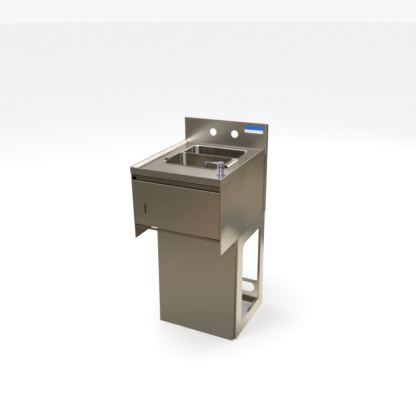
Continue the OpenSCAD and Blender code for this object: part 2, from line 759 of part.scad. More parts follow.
module pump_head() color(chrome) at_soap() difference() {
    union() {
        translate([0, 0, cap_z0]) rotate_extrude() polygon(concat([[0, 0], [head_d / 2, 0]],
            arc(head_d / 2 - head_edge, cap_h - head_edge, head_edge, 0, 90), [[0, cap_h]]));
        translate([0, 0, nozzle_z]) rotate([0, -90, 0])
            cylinder(d = nozzle_d, h = nozzle_reach - nozzle_bend);
        translate([-nozzle_reach + nozzle_bend, 0, nozzle_z - nozzle_bend])
            rotate([90, 0, 0]) rotate([0, 0, 90]) rotate_extrude(angle = 90) translate([nozzle_bend, 0])
                circle(d = nozzle_d);
        translate([-nozzle_reach, 0, nozzle_z - nozzle_bend - nozzle_down])
            cylinder(d = nozzle_d, h = nozzle_down);
    }
    rod(rod_d + 2 * run_clear, cap_z0 - over, rod_top_z);
}

deck_top();
backsplash();
rear_stile_left();
rear_stile_right();
side_panel_left();
side_panel_right();
sink_bowl();
drain_flange();
drain_gasket();
drain_locknut();
drain_coupling_nut();
drain_tailpiece();
strainer_basket();
top_rail();
towel_box_back();
towel_tray();
tray_studs();
tray_nuts();
towel_divider();
towel_door();
door_pivot_pins();
door_catch();
leg_frame_left();
leg_frame_right();
front_crossmember();
rear_crossmember();
pedestal_front();
frame_studs();
frame_nuts();
soap_flange();
soap_collar();
soap_shank();
soap_washer();
soap_locknut();
soap_bottle();
pump_housing();
dip_tube();
pump_spring();
pump_rod();
pump_skirt();
pump_head();
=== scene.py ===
import json
from math import copysign, cos, pi, radians, sin, tan

import bmesh
import bpy
from mathutils import Matrix, Vector


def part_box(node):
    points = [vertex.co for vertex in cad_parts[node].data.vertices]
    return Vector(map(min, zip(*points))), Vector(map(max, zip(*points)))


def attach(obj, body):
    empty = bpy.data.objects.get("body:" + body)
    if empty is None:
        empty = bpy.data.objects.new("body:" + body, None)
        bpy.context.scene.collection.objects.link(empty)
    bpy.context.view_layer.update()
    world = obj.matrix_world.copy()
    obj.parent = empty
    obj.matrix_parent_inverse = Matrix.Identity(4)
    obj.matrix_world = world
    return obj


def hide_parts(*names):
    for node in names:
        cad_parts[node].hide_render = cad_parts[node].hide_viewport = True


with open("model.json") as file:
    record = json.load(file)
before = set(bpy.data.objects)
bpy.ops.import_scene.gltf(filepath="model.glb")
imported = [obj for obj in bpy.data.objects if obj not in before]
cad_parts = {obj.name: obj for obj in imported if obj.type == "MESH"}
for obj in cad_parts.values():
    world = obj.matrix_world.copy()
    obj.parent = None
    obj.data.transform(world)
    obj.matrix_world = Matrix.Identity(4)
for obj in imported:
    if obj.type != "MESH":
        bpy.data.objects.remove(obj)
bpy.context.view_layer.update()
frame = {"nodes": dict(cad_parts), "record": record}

NODES = frame["nodes"]
SCENE = bpy.context.scene
TOUCH = 1e-6

# Sizes in metres, most of them taken from the frame
SHEET = 0.0015
DECK_LOW, DECK_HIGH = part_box("deck_top")
HALF_W = DECK_HIGH.x
FRONT = DECK_LOW.y
RIM = DECK_HIGH.z
APRON_Z = DECK_LOW.z
SPLASH_Y = DECK_HIGH.y
SPLASH_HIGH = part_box("backsplash")[1]
BACK = SPLASH_HIGH.y
PANEL_LOW, PANEL_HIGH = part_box("side_panel_right")
UNDER_DECK = PANEL_HIGH.z
DECK = UNDER_DECK + SHEET
SIDE_Z = PANEL_LOW.z
SIDE_X = PANEL_HIGH.x

# Bends and edges of the sheet metal
BEND = 0.0018
EDGE = 0.0003
RIM_FLAT = 0.005
RIM_SLOPE = 0.008
RIM_IN = RIM_FLAT + RIM_SLOPE
HAIR = 0.0001

# Angles between faces, in degrees, from which an edge is bent, kept or eased
BEND_ANGLE = 5
FLAT_ANGLE = 0.5
EASE_ANGLE = 35

# Up or down part of a normal from which a face counts as level
FLAT = 0.9

# Facets across eased edges, bends and round shapes
EASE_STEPS = 2
BEND_STEPS = 4
CORNER_STEPS = 6
TUB_STEPS = 10
ROUND_STEPS = 48
FINE_STEPS = 64
HEX_SIDES = 6
HEX_SIDE_SHARE = 0.25

# Points from which the outer side of a sheet is seen
FAR = 10
FROM_ABOVE = (0, 0, FAR)
FROM_BELOW = (0, 0, -FAR)
FROM_FRONT = (0, -FAR, 0)
FROM_BEHIND = (0, FAR, 0)

# Edges of a plate whose corners go round from the lower left one
BOTTOM, RIGHT, TOP, LEFT = 0, 1, 2, 3


# Small tools for meshes

def bevel(bm, geom, width, segments=BEND_STEPS, affect="EDGES"):
    bmesh.ops.bevel(bm, geom=geom, offset=width, offset_type="OFFSET", segments=segments, profile=0.5,
                    affect=affect, material=-1, clamp_overlap=True)


def verts_of(geom):
    return [item for item in geom if isinstance(item, bmesh.types.BMVert)]


def edges_of(geom):
    return [item for item in geom if isinstance(item, bmesh.types.BMEdge)]


def edges_between(geom, verts):
    return [edge for edge in edges_of(geom) if edge.verts[0] in verts and edge.verts[1] in verts]


def widest(faces):
    return max(faces, key=lambda face: face.calc_area())


def wire_loop(bm, corners, radii=0.0, segments=CORNER_STEPS):
    """Closed loop of edges through the corners, each rounded by its radius."""
    known = set(bm.faces)
    verts = [bm.verts.new(corner) for corner in corners]
    bm.faces.new(verts)
    if not isinstance(radii, (list, tuple)):
        radii = [radii] * len(verts)
    for vert, radius in zip(verts, radii):
        if radius:
            bevel(bm, [vert], radius, segments, "VERTICES")
    face = next(face for face in bm.faces if face not in known)
    edges = face.edges[:]
    bmesh.ops.delete(bm, geom=[face], context="FACES_ONLY")
    return edges


def along(axis, place):
    """Matrix that lays the Z axis of a shape along axis and takes it to a place."""
    turn = Vector((0, 0, 1)).rotation_difference(Vector(axis)).to_matrix().to_4x4()
    return Matrix.Translation(place) @ turn


def circle_loop(bm, centre, radius, axis, segments=ROUND_STEPS):
    made = bmesh.ops.create_circle(bm, cap_ends=False, radius=radius, segments=segments,
                                   matrix=along(axis, centre))
    return list(dict.fromkeys(edge for vert in made["verts"] for edge in vert.link_edges))


def fill(bm, edges):
    bmesh.ops.triangle_fill(bm, use_beauty=True, use_dissolve=False, edges=edges)


def open_face(bm, face):
    """Takes a face away and gives back the edges round it."""
    edges = face.edges[:]
    bmesh.ops.delete(bm, geom=[face], context="FACES_ONLY")
    return edges


def pull(bm, edges, first_way, last_way, first):
    """Extrudes edges and moves the new points, those over the point first by first_way."""
    made = bmesh.ops.extrude_edge_only(bm, edges=edges)["geom"]
    fresh = verts_of(made)
    start = first.co.copy()
    for vert in fresh:
        vert.co += first_way if (vert.co - start).length < TOUCH else last_way
    return fresh, edges_between(made, fresh)


def plate(corners, turned=(), bend=BEND, holes=()):
    """Flat sheet with edges turned up. Each entry of turned is the number of an edge and the steps it
    takes, where a step is one vector, or a pair for the edge's two ends. Each hole draws a loop in the
    mesh."""
    bm = bmesh.new()
    verts = [bm.verts.new(corner) for corner in corners]
    bm.faces.new(verts)
    for index, steps in turned:
        first, last = verts[index], verts[(index + 1) % len(verts)]
        edge = bm.edges.get((first, last))
        for step in steps:
            ways = step if isinstance(step, tuple) else (step, step)
            start = first.co.copy()
            fresh, edges = pull(bm, [edge], ways[0], ways[1], first)
            edge = edges[0]
            target = start + ways[0]
            first = min(fresh, key=lambda vert: (vert.co - target).length)
    bmesh.ops.remove_doubles(bm, verts=bm.verts, dist=TOUCH)
    bends = [edge for edge in bm.edges
             if len(edge.link_faces) == 2 and edge.calc_face_angle() > radians(BEND_ANGLE)]
    bevel(bm, bends, bend)
    if holes:
        edges = open_face(bm, widest(bm.faces))
        for hole in holes:
            edges += hole(bm)
        fill(bm, edges)
    return bm


def turned_solid(profile, segments, closed=False):
    """Solid of revolution about Z from pairs of radius and height."""
    bm = bmesh.new()
    verts = [bm.verts.new((radius, 0, height)) for radius, height in profile]
    pairs = list(zip(verts, verts[1:])) + ([(verts[-1], verts[0])] if closed else [])
    edges = [bm.edges.new(pair) for pair in pairs]
    bmesh.ops.spin(bm, geom=verts + edges, cent=(0, 0, 0), axis=(0, 0, 1), dvec=(0, 0, 0), angle=2 * pi,
                   steps=segments, use_merge=True, use_normal_flip=False, use_duplicate=False)
    bmesh.ops.remove_doubles(bm, verts=bm.verts, dist=TOUCH)
    return bm


def hex_ring(flats, bore, low, high, segments=ROUND_STEPS):
    """Hexagon with a round bore, between two heights."""
    bm = bmesh.new()
    for height in (low, high):
        outer = circle_loop(bm, (0, 0, height), flats / 2 / cos(pi / HEX_SIDES), (0, 0, 1), HEX_SIDES)
        inner = circle_loop(bm, (0, 0, height), bore / 2, (0, 0, 1), segments)
        fill(bm, outer + inner)
    rims = [edge for edge in bm.edges if len(edge.link_faces) == 1]
    shortest = bore * HEX_SIDE_SHARE
    for sides in ([edge for edge in rims if edge.calc_length() > shortest],
                  [edge for edge in rims if edge.calc_length() <= shortest]):
        bmesh.ops.bridge_loops(bm, edges=sides)
    return bm


def box_solid(low, high):
    bm = bmesh.new()
    low, high = Vector(low), Vector(high)
    size = Matrix.Diagonal((*(high - low), 1))
    bmesh.ops.create_cube(bm, size=1, matrix=Matrix.Translation((low + high) / 2) @ size)
    return bm


def join(parts):
    bm = bmesh.new()
    for part in parts:
        mesh = bpy.data.meshes.new("part")
        part.to_mesh(mesh)
        part.free()
        bm.from_mesh(mesh)
        bpy.data.meshes.remove(mesh)
    return bm


def moved(bm, matrix):
    bmesh.ops.transform(bm, matrix=matrix, verts=bm.verts)
    return bm


def islands(bm):
    left = dict.fromkeys(bm.faces)
    while left:
        group = [next(iter(left))]
        del left[group[0]]
        for face in group:
            for edge in face.edges:
                for near in edge.link_faces:
                    if near in left:
                        del left[near]
                        group.append(near)
        yield group


def add_piece(name, bm, material, nodes, body):
    mesh = bpy.data.meshes.new(name)
    bm.to_mesh(mesh)
    bm.free()
    mesh.polygons.foreach_set("use_smooth", [True] * len(mesh.polygons))
    materials = material if isinstance(material, (list, tuple)) else [material]
    for item in materials:
        mesh.materials.append(item)
    piece = bpy.data.objects.new(name, mesh)
    SCENE.collection.objects.link(piece)
    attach(piece, body)
    if nodes:
        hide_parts(*nodes)
    return piece


def ease_edges(piece, width):
    if width:
        rounding = piece.modifiers.new("eased edges", "BEVEL")
        rounding.width = width
        rounding.segments = EASE_STEPS
        rounding.limit_method = "ANGLE"
        rounding.angle_limit = radians(EASE_ANGLE)
    shading = piece.modifiers.new("flat faces shade flat", "WEIGHTED_NORMAL")
    shading.keep_sharp = True


def sheet_piece(name, bm, seen_from, material, nodes, body="cabinet",
                thickness=SHEET, edge=EDGE, inner=0):
    """Gives an open shell its thickness, away from the side that is seen from a point. inner is how many
    places further on in the list of materials its hidden side's finish is."""
    bmesh.ops.recalc_face_normals(bm, faces=bm.faces)
    for group in islands(bm):
        facing = sum(face.calc_area() * face.normal.dot(Vector(seen_from) - face.calc_center_median())
                     for face in group)
        if facing < 0:
            bmesh.ops.reverse_faces(bm, faces=group)
    piece = add_piece(name, bm, material, nodes, body)
    wall = piece.modifiers.new("sheet", "SOLIDIFY")
    wall.thickness = thickness
    wall.offset = -1
    wall.use_quality_normals = True
    wall.material_offset = inner
    ease_edges(piece, edge)
    return piece


def solid_piece(name, bm, material, nodes, body="cabinet", edge=EDGE):
    bmesh.ops.recalc_face_normals(bm, faces=bm.faces)
    piece = add_piece(name, bm, material, nodes, body)
    ease_edges(piece, edge)
    return piece


def eased_node(node, material, edge=EDGE):
    """Copy of a frame node with its edges eased."""
    bm = bmesh.new()
    bm.from_mesh(NODES[node].data)
    bmesh.ops.remove_doubles(bm, verts=bm.verts, dist=TOUCH)
    bmesh.ops.dissolve_limit(bm, angle_limit=radians(FLAT_ANGLE), verts=bm.verts, edges=bm.edges)
    return solid_piece(node + "_eased", bm, material, [node], frame_body(node), edge)


def frame_body(node):
    bodies = frame["record"]["behaviour"]["bodies"]
    return next(body for body, members in bodies.items() if node in members)


# Shader groups that several finishes share

MIX_COLOURS = (6, 7)
MIX_RESULT = 2


def new_group(name, inputs, outputs):
    group = bpy.data.node_groups.new(name, "ShaderNodeTree")
    for socket, kind, value in inputs:
        made = group.interface.new_socket(name=socket, in_out="INPUT", socket_type=kind)
        made.default_value = value
    for socket, kind in outputs:
        group.interface.new_socket(name=socket, in_out="OUTPUT", socket_type=kind)
    ends = group.nodes.new("NodeGroupInput"), group.nodes.new("NodeGroupOutput")
    return group, ends[0], ends[1]


def add_node(tree, kind, settings=None, **inputs):
    """New node in a tree. An input is given by its name, or as i and its number."""
    node = tree.nodes.new(kind)
    for key, value in (settings or {}).items():
        setattr(node, key, value)
    for key, value in inputs.items():
        socket = node.inputs[int(key[1:])] if key[0] == "i" and key[1:].isdigit() else node.inputs[key]
        if isinstance(value, bpy.types.NodeSocket):
            tree.links.new(value, socket)
        else:
            socket.default_value = value
    return node


def ramp(tree, value, low, high, start=0.0, end=1.0):
    return add_node(tree, "ShaderNodeMapRange", {"clamp": True}, i0=value, i1=low, i2=high, i3=start,
                    i4=end).outputs[0]


def multiply(tree, first, second):
    return add_node(tree, "ShaderNodeMath", {"operation": "MULTIPLY"}, i0=first, i1=second).outputs[0]


def plus(tree, first, second):
    return add_node(tree, "ShaderNodeMath", {"operation": "ADD"}, i0=first, i1=second).outputs[0]


def blend_colours(tree, share, first, second):
    node = add_node(tree, "ShaderNodeMix", {"data_type": "RGBA"}, i0=share)
    for index, value in zip(MIX_COLOURS, (first, second)):
        if isinstance(value, bpy.types.NodeSocket):
            tree.links.new(value, node.inputs[index])
        else:
            node.inputs[index].default_value = value
    return node.outputs[MIX_RESULT]


def scaled(tree, vector, scale):
    product = add_node(tree, "ShaderNodeVectorMath", {"operation": "MULTIPLY"}, i0=vector, i1=scale)
    return product.outputs[0]


def matched(tree, first, second):
    node = add_node(tree, "ShaderNodeVectorMath", {"operation": "DOT_PRODUCT"}, i0=first, i1=second)
    return node.outputs["Value"]


def noise(tree, vector, scale, detail=2.0, roughness=0.5):
    return add_node(tree, "ShaderNodeTexNoise", None, Vector=vector, Scale=scale, Detail=detail,
                    Roughness=roughness).outputs["Fac"]


GRAIN_LINES = (8, 900, 900)
GRAIN_BROAD = (0.4, 0.3, 0.3)
GRAIN_FINE_SHARE = 0.4
GRAIN_BROAD_SHARE = 0.6
GRAIN_SPREAD = (0.3, 0.7)


def grain_group():
    """Rolling and brushing lines: Height for a bump, Tone for colour and gloss."""
    group, start, end = new_group("brushed grain", [
        ("Vector", "NodeSocketVector", (0, 0, 0)), ("Lines", "NodeSocketVector", GRAIN_LINES)],
        [("Height", "NodeSocketFloat"), ("Tone", "NodeSocketFloat")])
    lines = scaled(group, start.outputs["Vector"], start.outputs["Lines"])
    fine = noise(group, lines, scale=1.0, detail=3.0, roughness=0.6)
    broad = noise(group, scaled(group, lines, GRAIN_BROAD), scale=1.0)
    group.links.new(fine, end.inputs["Height"])
    both = plus(group, multiply(group, fine, GRAIN_FINE_SHARE), multiply(group, broad, GRAIN_BROAD_SHARE))
    group.links.new(ramp(group, both, *GRAIN_SPREAD), end.inputs["Tone"])
    return group


MARK_SIZE = 9.0
MARK_SPREAD = (0.45, 0.75)


def handling_group():
    """Wiping marks: Marks is 1 where the surface is dulled."""
    group, start, end = new_group("handling marks", [
        ("Vector", "NodeSocketVector", (0, 0, 0)), ("Size", "NodeSocketFloat", MARK_SIZE)],
        [("Marks", "NodeSocketFloat")])
    patches = noise(group, start.outputs["Vector"], start.outputs["Size"], detail=1.5)
    group.links.new(ramp(group, patches, *MARK_SPREAD), end.inputs["Marks"])
    return group


RUBBED_R = 0.0014
RUBBED_SAMPLES = 4
RUBBED_SPREAD = (0.995, 0.93)


def edge_group():
    """Wear on edges: Mask is 1 where the surface turns within the radius."""
    group, start, end = new_group("rubbed edges", [("Radius", "NodeSocketFloat", RUBBED_R)],
                                  [("Mask", "NodeSocketFloat")])
    soft = add_node(group, "ShaderNodeBevel", {"samples": RUBBED_SAMPLES}, Radius=start.outputs["Radius"])
    true = add_node(group, "ShaderNodeNewGeometry")
    match = matched(group, soft.outputs[0], true.outputs["Normal"])
    group.links.new(ramp(group, match, *RUBBED_SPREAD), end.inputs["Mask"])
    return group


# Reach, samples and spread of the painted shade that darkens corners and joints
SEAM_REACH = 0.005
SEAM_SAMPLES = 6
SEAM_SPREAD = (0.4, 0.95)


def seam_shade_group():
    """Painted shade in corners and joints: Mask is 1 deep in a corner."""
    group, start, end = new_group("seam painted shade", [("Reach", "NodeSocketFloat", SEAM_REACH)],
                                  [("Mask", "NodeSocketFloat")])
    openness = add_node(group, "ShaderNodeAmbientOcclusion",
                        {"samples": SEAM_SAMPLES, "only_local": False},
                        Distance=start.outputs["Reach"])
    group.links.new(ramp(group, openness.outputs["AO"], *SEAM_SPREAD, 1.0, 0.0), end.inputs["Mask"])
    return group


GRAIN = grain_group()
SEAM_SHADE = seam_shade_group()
HANDLING = handling_group()
RUBBED = edge_group()


def use_group(tree, group, **inputs):
    node = tree.nodes.new("ShaderNodeGroup")
    node.node_tree = group
    for key, value in inputs.items():
        if isinstance(value, bpy.types.NodeSocket):
            tree.links.new(value, node.inputs[key])
        else:
            node.inputs[key].default_value = value
    return node


# Finishes

def new_finish(name, metallic=0.0):
    material = bpy.data.materials.new(name)
    material.use_nodes = True
    surface = material.node_tree.nodes["Principled BSDF"]
    surface.inputs["Metallic"].default_value = metallic
    place = add_node(material.node_tree, "ShaderNodeTexCoord").outputs["Object"]
    return material, material.node_tree, surface, place


def bump(tree, height, distance, strength=1.0, normal=None):
    node = add_node(tree, "ShaderNodeBump", None, Height=height, Distance=distance, Strength=strength)
    if normal is not None:
        tree.links.new(normal, node.inputs["Normal"])
    return node.outputs["Normal"]


# Spread of the painted highlight on a tub's upright corners
CORNER_HIGHLIGHT_SPREAD = (0.25, 0.36)


def corner_highlight_mask(tree):
    """1 on the upright rounded corners of a tub, which take a painted highlight."""
    normal = add_node(tree, "ShaderNodeNewGeometry").outputs["Normal"]
    parts = add_node(tree, "ShaderNodeSeparateXYZ", None, i0=normal)
    across = multiply(tree, multiply(tree, parts.outputs["X"], parts.outputs["Y"]), parts.outputs["Y"])
    turned = add_node(tree, "ShaderNodeMath", {"operation": "ABSOLUTE"}, i0=across).outputs[0]
    return ramp(tree, turned, *CORNER_HIGHLIGHT_SPREAD)


ALONG_LINE = 7
ACROSS_LINE = 1100
LINES_ALONG = {"x": (ALONG_LINE, ACROSS_LINE, ACROSS_LINE), "y": (ACROSS_LINE, ALONG_LINE, ACROSS_LINE),
               "z": (ACROSS_LINE, ACROSS_LINE, ALONG_LINE)}
LINE_DEPTH = 0.00001
LINE_STRENGTH = 0.3
EDGE_SHINE = 0.2
EDGE_COLOUR = (0.82, 0.79, 0.72, 1)
# Share and near-black colour of the painted shade in corners and joints
SEAM_SHADE_SHARE = 0.75
SEAM_SHADE_COLOUR = (0.06, 0.055, 0.045, 1)
# Near-white colour of the painted highlight on a tub's upright corners
CORNER_HIGHLIGHT_COLOUR = (0.97, 0.96, 0.94, 1)
MARK_DULLING = 0.04
DENT_ROUGHNESS = 0.4
STEEL_METALLIC = 0.96


def steel(name, light, dark, lines, gloss, wave=0.0, wave_size=1.0, metallic=STEEL_METALLIC, corners=0.0,
          shift=(0, 0, 0)):
    """Brushed stainless sheet whose lines run along one axis. gloss is its roughness in dark and light
    lines, wave is the depth of its soft dents, shift moves them, and corners is how much metallic its
    upright corners lose as a painted highlight lightens them."""
    material, tree, surface, place = new_finish(name, metallic)
    grain = use_group(tree, GRAIN, Vector=place, Lines=LINES_ALONG[lines])
    marks = use_group(tree, HANDLING, Vector=place, Size=MARK_SIZE).outputs["Marks"]
    edges = use_group(tree, RUBBED, Radius=RUBBED_R).outputs["Mask"]
    tone = blend_colours(tree, grain.outputs["Tone"], (*dark, 1), (*light, 1))
    bright = blend_colours(tree, multiply(tree, edges, EDGE_SHINE), tone, EDGE_COLOUR)
    # Painted shade: the base colour darkens towards near-black deep in corners and joints
    painted_seam_shade = multiply(tree, use_group(tree, SEAM_SHADE, Reach=SEAM_REACH).outputs["Mask"], SEAM_SHADE_SHARE)
    if corners:
        # Painted highlight: upright rounded corners are lightened towards near-white and made less
        # metallic
        painted_corner_highlight = corner_highlight_mask(tree)
        bright = blend_colours(tree, painted_corner_highlight, bright, CORNER_HIGHLIGHT_COLOUR)
        tree.links.new(ramp(tree, painted_corner_highlight, 0, 1, metallic, metallic - corners), surface.inputs["Metallic"])
    tree.links.new(blend_colours(tree, painted_seam_shade, bright, SEAM_SHADE_COLOUR), surface.inputs["Base Color"])
    polish = ramp(tree, grain.outputs["Tone"], 0, 1, *gloss)
    rough = plus(tree, polish, multiply(tree, marks, MARK_DULLING))
    tree.links.new(rough, surface.inputs["Roughness"])
    normal = None
    if wave:
        dents = add_node(tree, "ShaderNodeMapping", None, Vector=place, Location=shift).outputs[0]
        normal = bump(tree, noise(tree, dents, wave_size, detail=1.0, roughness=DENT_ROUGHNESS), wave)
    grooves = bump(tree, grain.outputs["Height"], LINE_DEPTH, LINE_STRENGTH, normal)
    tree.links.new(grooves, surface.inputs["Normal"])
    return material


POLISH_MARK_SIZE = 60.0
POLISH_EDGE_R = 0.0006
POLISH_SHINE = 0.3
POLISH_EDGE = (0.95, 0.95, 0.97, 1)
POLISH_DEPTH = 0.00001


def polished(name, colour, gloss):
    """Plated metal. gloss is its roughness where clean and where marked."""
    material, tree, surface, place = new_finish(name, 1.0)
    marks = use_group(tree, HANDLING, Vector=place, Size=POLISH_MARK_SIZE).outputs["Marks"]
    edges = use_group(tree, RUBBED, Radius=POLISH_EDGE_R).outputs["Mask"]
    tree.links.new(blend_colours(tree, multiply(tree, edges, POLISH_SHINE), (*colour, 1), POLISH_EDGE),
                   surface.inputs["Base Color"])
    tree.links.new(ramp(tree, marks, 0, 1, *gloss), surface.inputs["Roughness"])
    tree.links.new(bump(tree, marks, POLISH_DEPTH), surface.inputs["Normal"])
    return material


CLOUD_SCALE = 35.0
CLOUD_SPREAD = (0.35, 0.65)
CLOUD_GLOSS_SPREAD = (0.3, 0.7)
MOULDED_EDGE_R = 0.0008
MOULDED_SHINE = 0.4
WORN_GAIN = 1.3
WORN_LIFT = 0.02
MOULDED_DEPTH = 0.00004
MOULDED_STRENGTH = 0.5
FINE_TEXTURE = 900.0
PLATE_TEXTURE = 300.0


def moulded(name, colour, shade, gloss=(0.35, 0.5), texture=FINE_TEXTURE):
    """Plastic or rubber with a fine moulded texture."""
    material, tree, surface, place = new_finish(name)
    cloud = noise(tree, place, CLOUD_SCALE, detail=3.0, roughness=0.6)
    edges = use_group(tree, RUBBED, Radius=MOULDED_EDGE_R).outputs["Mask"]
    tone = blend_colours(tree, ramp(tree, cloud, *CLOUD_SPREAD), (*shade, 1), (*colour, 1))
    worn = tuple(min(1, value * WORN_GAIN + WORN_LIFT) for value in colour)
    tree.links.new(blend_colours(tree, multiply(tree, edges, MOULDED_SHINE), tone, (*worn, 1)),
                   surface.inputs["Base Color"])
    tree.links.new(ramp(tree, cloud, *CLOUD_GLOSS_SPREAD, *gloss), surface.inputs["Roughness"])
    tree.links.new(bump(tree, noise(tree, place, texture), MOULDED_DEPTH, MOULDED_STRENGTH),
                   surface.inputs["Normal"])
    return material


PIT_SCALE = 420.0
PIT_DEPTH = 0.0001
STAIN_SCALE = 45.0
STAIN_SPREAD = (0.35, 0.7)
STAIN_GLOSS_SPREAD = (0.3, 0.7)
BRASS_GLOSS = (0.3, 0.5)
BRASS_COLOUR = (0.62, 0.45, 0.19, 1)
BRASS_STAIN = (0.4, 0.27, 0.12, 1)


def cast_brass(name):
    material, tree, surface, place = new_finish(name, 1.0)
    pits = noise(tree, place, PIT_SCALE, detail=4.0, roughness=0.7)
    stain = noise(tree, place, STAIN_SCALE, detail=3.0)
    tree.links.new(blend_colours(tree, ramp(tree, stain, *STAIN_SPREAD), BRASS_COLOUR, BRASS_STAIN),
                   surface.inputs["Base Color"])
    tree.links.new(ramp(tree, stain, *STAIN_GLOSS_SPREAD, *BRASS_GLOSS), surface.inputs["Roughness"])
    tree.links.new(bump(tree, pits, PIT_DEPTH), surface.inputs["Normal"])
    return material


LIGHT_STEEL = (0.60, 0.565, 0.50)
MID_STEEL = (0.54, 0.508, 0.445)
BRIGHT_GLOSS = (0.14, 0.24)
TUB_GLOSS = (0.16, 0.24)
MATT_GLOSS = (0.3, 0.4)
PLATE_GLOSS = (0.3, 0.4)
EDGE_METALLIC = 0.86
TUB_METALLIC = 0.97
# How far the painted corner highlight takes metallic down
TUB_CORNER_HIGHLIGHT = 0.6
RIPPLE = 0.002
RIPPLE_SIZE = 5.0

FRONT_STEEL = steel("front brushed steel", light=LIGHT_STEEL, dark=MID_STEEL, lines="x",
                    gloss=(0.22, 0.26))
SPLASH_STEEL = steel("splash brushed steel", light=(0.52, 0.485, 0.43), dark=(0.47, 0.44, 0.385),
                     lines="x", gloss=(0.3, 0.38))
DECK_STEEL = steel("deck brushed steel", light=(0.64, 0.605, 0.545), dark=MID_STEEL, lines="x",
                   gloss=BRIGHT_GLOSS, wave=RIPPLE, wave_size=RIPPLE_SIZE)
# Painted highlight: a brighter, paler steel for the sloped faces of the deck's rim
SLOPE_HIGHLIGHT_STEEL = steel("rim slope painted highlight steel", light=(0.66, 0.63, 0.61), dark=(0.61, 0.58, 0.56), lines="y",
                    gloss=BRIGHT_GLOSS, wave=RIPPLE, wave_size=RIPPLE_SIZE)
# Painted highlight: a near-white steel for the bowl's rolled rim
ROLL_HIGHLIGHT_STEEL = steel("bowl rim painted highlight steel", light=(0.92, 0.90, 0.87), dark=(0.88, 0.86, 0.82), lines="x",
                   gloss=(0.2, 0.3), metallic=EDGE_METALLIC)
SIDE_STEEL = steel("side panel steel", light=LIGHT_STEEL, dark=MID_STEEL, lines="y", gloss=(0.08, 0.11),
                   wave=0.022, wave_size=3.6, shift=(3.52, 0.35, 2.42))
BOWL_STEEL = steel("bowl steel", light=(0.70, 0.66, 0.58), dark=(0.64, 0.60, 0.52), lines="z",
                   gloss=TUB_GLOSS, metallic=TUB_METALLIC, corners=TUB_CORNER_HIGHLIGHT)
BASKET_STEEL = steel("basket steel", light=(0.52, 0.485, 0.41), dark=(0.48, 0.445, 0.37), lines="z",
                     gloss=TUB_GLOSS, metallic=TUB_METALLIC, corners=TUB_CORNER_HIGHLIGHT)
# Painted shade: a darker copy of the brushed steel for the rail, tray and channels under the deck and
# apron
RAIL_SHADED_STEEL = steel("rail painted shade steel", light=(0.36, 0.32, 0.26), dark=(0.31, 0.275, 0.22), lines="x",
                   gloss=(0.2, 0.28))
# Painted shadow: a near-black steel for the rail's top strip under the apron
RAIL_SHADE = steel("rail edge painted shadow steel", light=(0.15, 0.13, 0.10), dark=(0.12, 0.105, 0.08), lines="x",
                   gloss=MATT_GLOSS)
INNER_STEEL = steel("inner side steel", light=(0.4, 0.36, 0.3), dark=(0.36, 0.325, 0.27), lines="y",
                    gloss=(0.24, 0.3))
FRAME_STEEL = steel("leg frame steel", light=(0.63, 0.60, 0.54), dark=(0.59, 0.56, 0.50), lines="z",
                    gloss=(0.15, 0.2), wave=0.012, wave_size=4.5, shift=(2.69, 2.02, 0.71))
# Painted highlight: a near-white steel for the front strip of the splash's side returns
SPLASH_EDGE_HIGHLIGHT_STEEL = steel("splash edge painted highlight steel", light=(0.88, 0.83, 0.76), dark=(0.82, 0.77, 0.7), lines="z",
                   gloss=MATT_GLOSS, metallic=EDGE_METALLIC)
STILE_STEEL = steel("stile steel", light=(0.52, 0.49, 0.44), dark=(0.42, 0.40, 0.35), lines="z",
                    gloss=(0.2, 0.32))
CHROME = polished("chrome plate", colour=(0.38, 0.40, 0.50), gloss=(0.015, 0.04))
ZINC = polished("zinc plate", colour=(0.62, 0.62, 0.60), gloss=(0.25, 0.42))
RUBBER = moulded("black rubber", colour=(0.035, 0.035, 0.036), shade=(0.022, 0.022, 0.022),
                 gloss=(0.55, 0.75))
MAGNET_BLACK = moulded("black catch housing", colour=(0.03, 0.03, 0.033), shade=(0.02, 0.02, 0.022))
WHITE_PLASTIC = moulded("white plastic", colour=(0.80, 0.80, 0.77), shade=(0.74, 0.74, 0.70))
PLATE_BLUE = moulded("blue plate face", colour=(0.006, 0.17, 0.66), shade=(0.005, 0.15, 0.60),
                     gloss=PLATE_GLOSS, texture=PLATE_TEXTURE)
PLATE_WHITE = moulded("white plate face", colour=(0.85, 0.85, 0.87), shade=(0.80, 0.80, 0.82),
                      gloss=PLATE_GLOSS, texture=PLATE_TEXTURE)
BRASS = cast_brass("cast brass")


# Deck, splash and side panels

def rectangle(half_w, low_y, high_y, z):
    return [(-half_w, low_y, z), (half_w, low_y, z), (half_w, high_y, z), (-half_w, high_y, z)]


BOWL_LOW, BOWL_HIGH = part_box("sink_bowl")
BOWL_FLANGE = 0.010
BOWL_ROLL = 0.003
BOWL_R = 0.026
BOWL_HALF_W = BOWL_HIGH.x - BOWL_FLANGE
BOWL_HALF_L = (BOWL_HIGH.y - BOWL_LOW.y) / 2 - BOWL_FLANGE
BOWL_MID = Vector((0, (BOWL_LOW.y + BOWL_HIGH.y) / 2, 0))
BOWL_FLOOR = BOWL_LOW.z + SHEET
SOAP_LOW, SOAP_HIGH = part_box("soap_flange")
SOAP = (SOAP_LOW + SOAP_HIGH) / 2
SOAP_HOLE_R = 0.013
SLOPE_NORMALS = (0.4, 0.7)


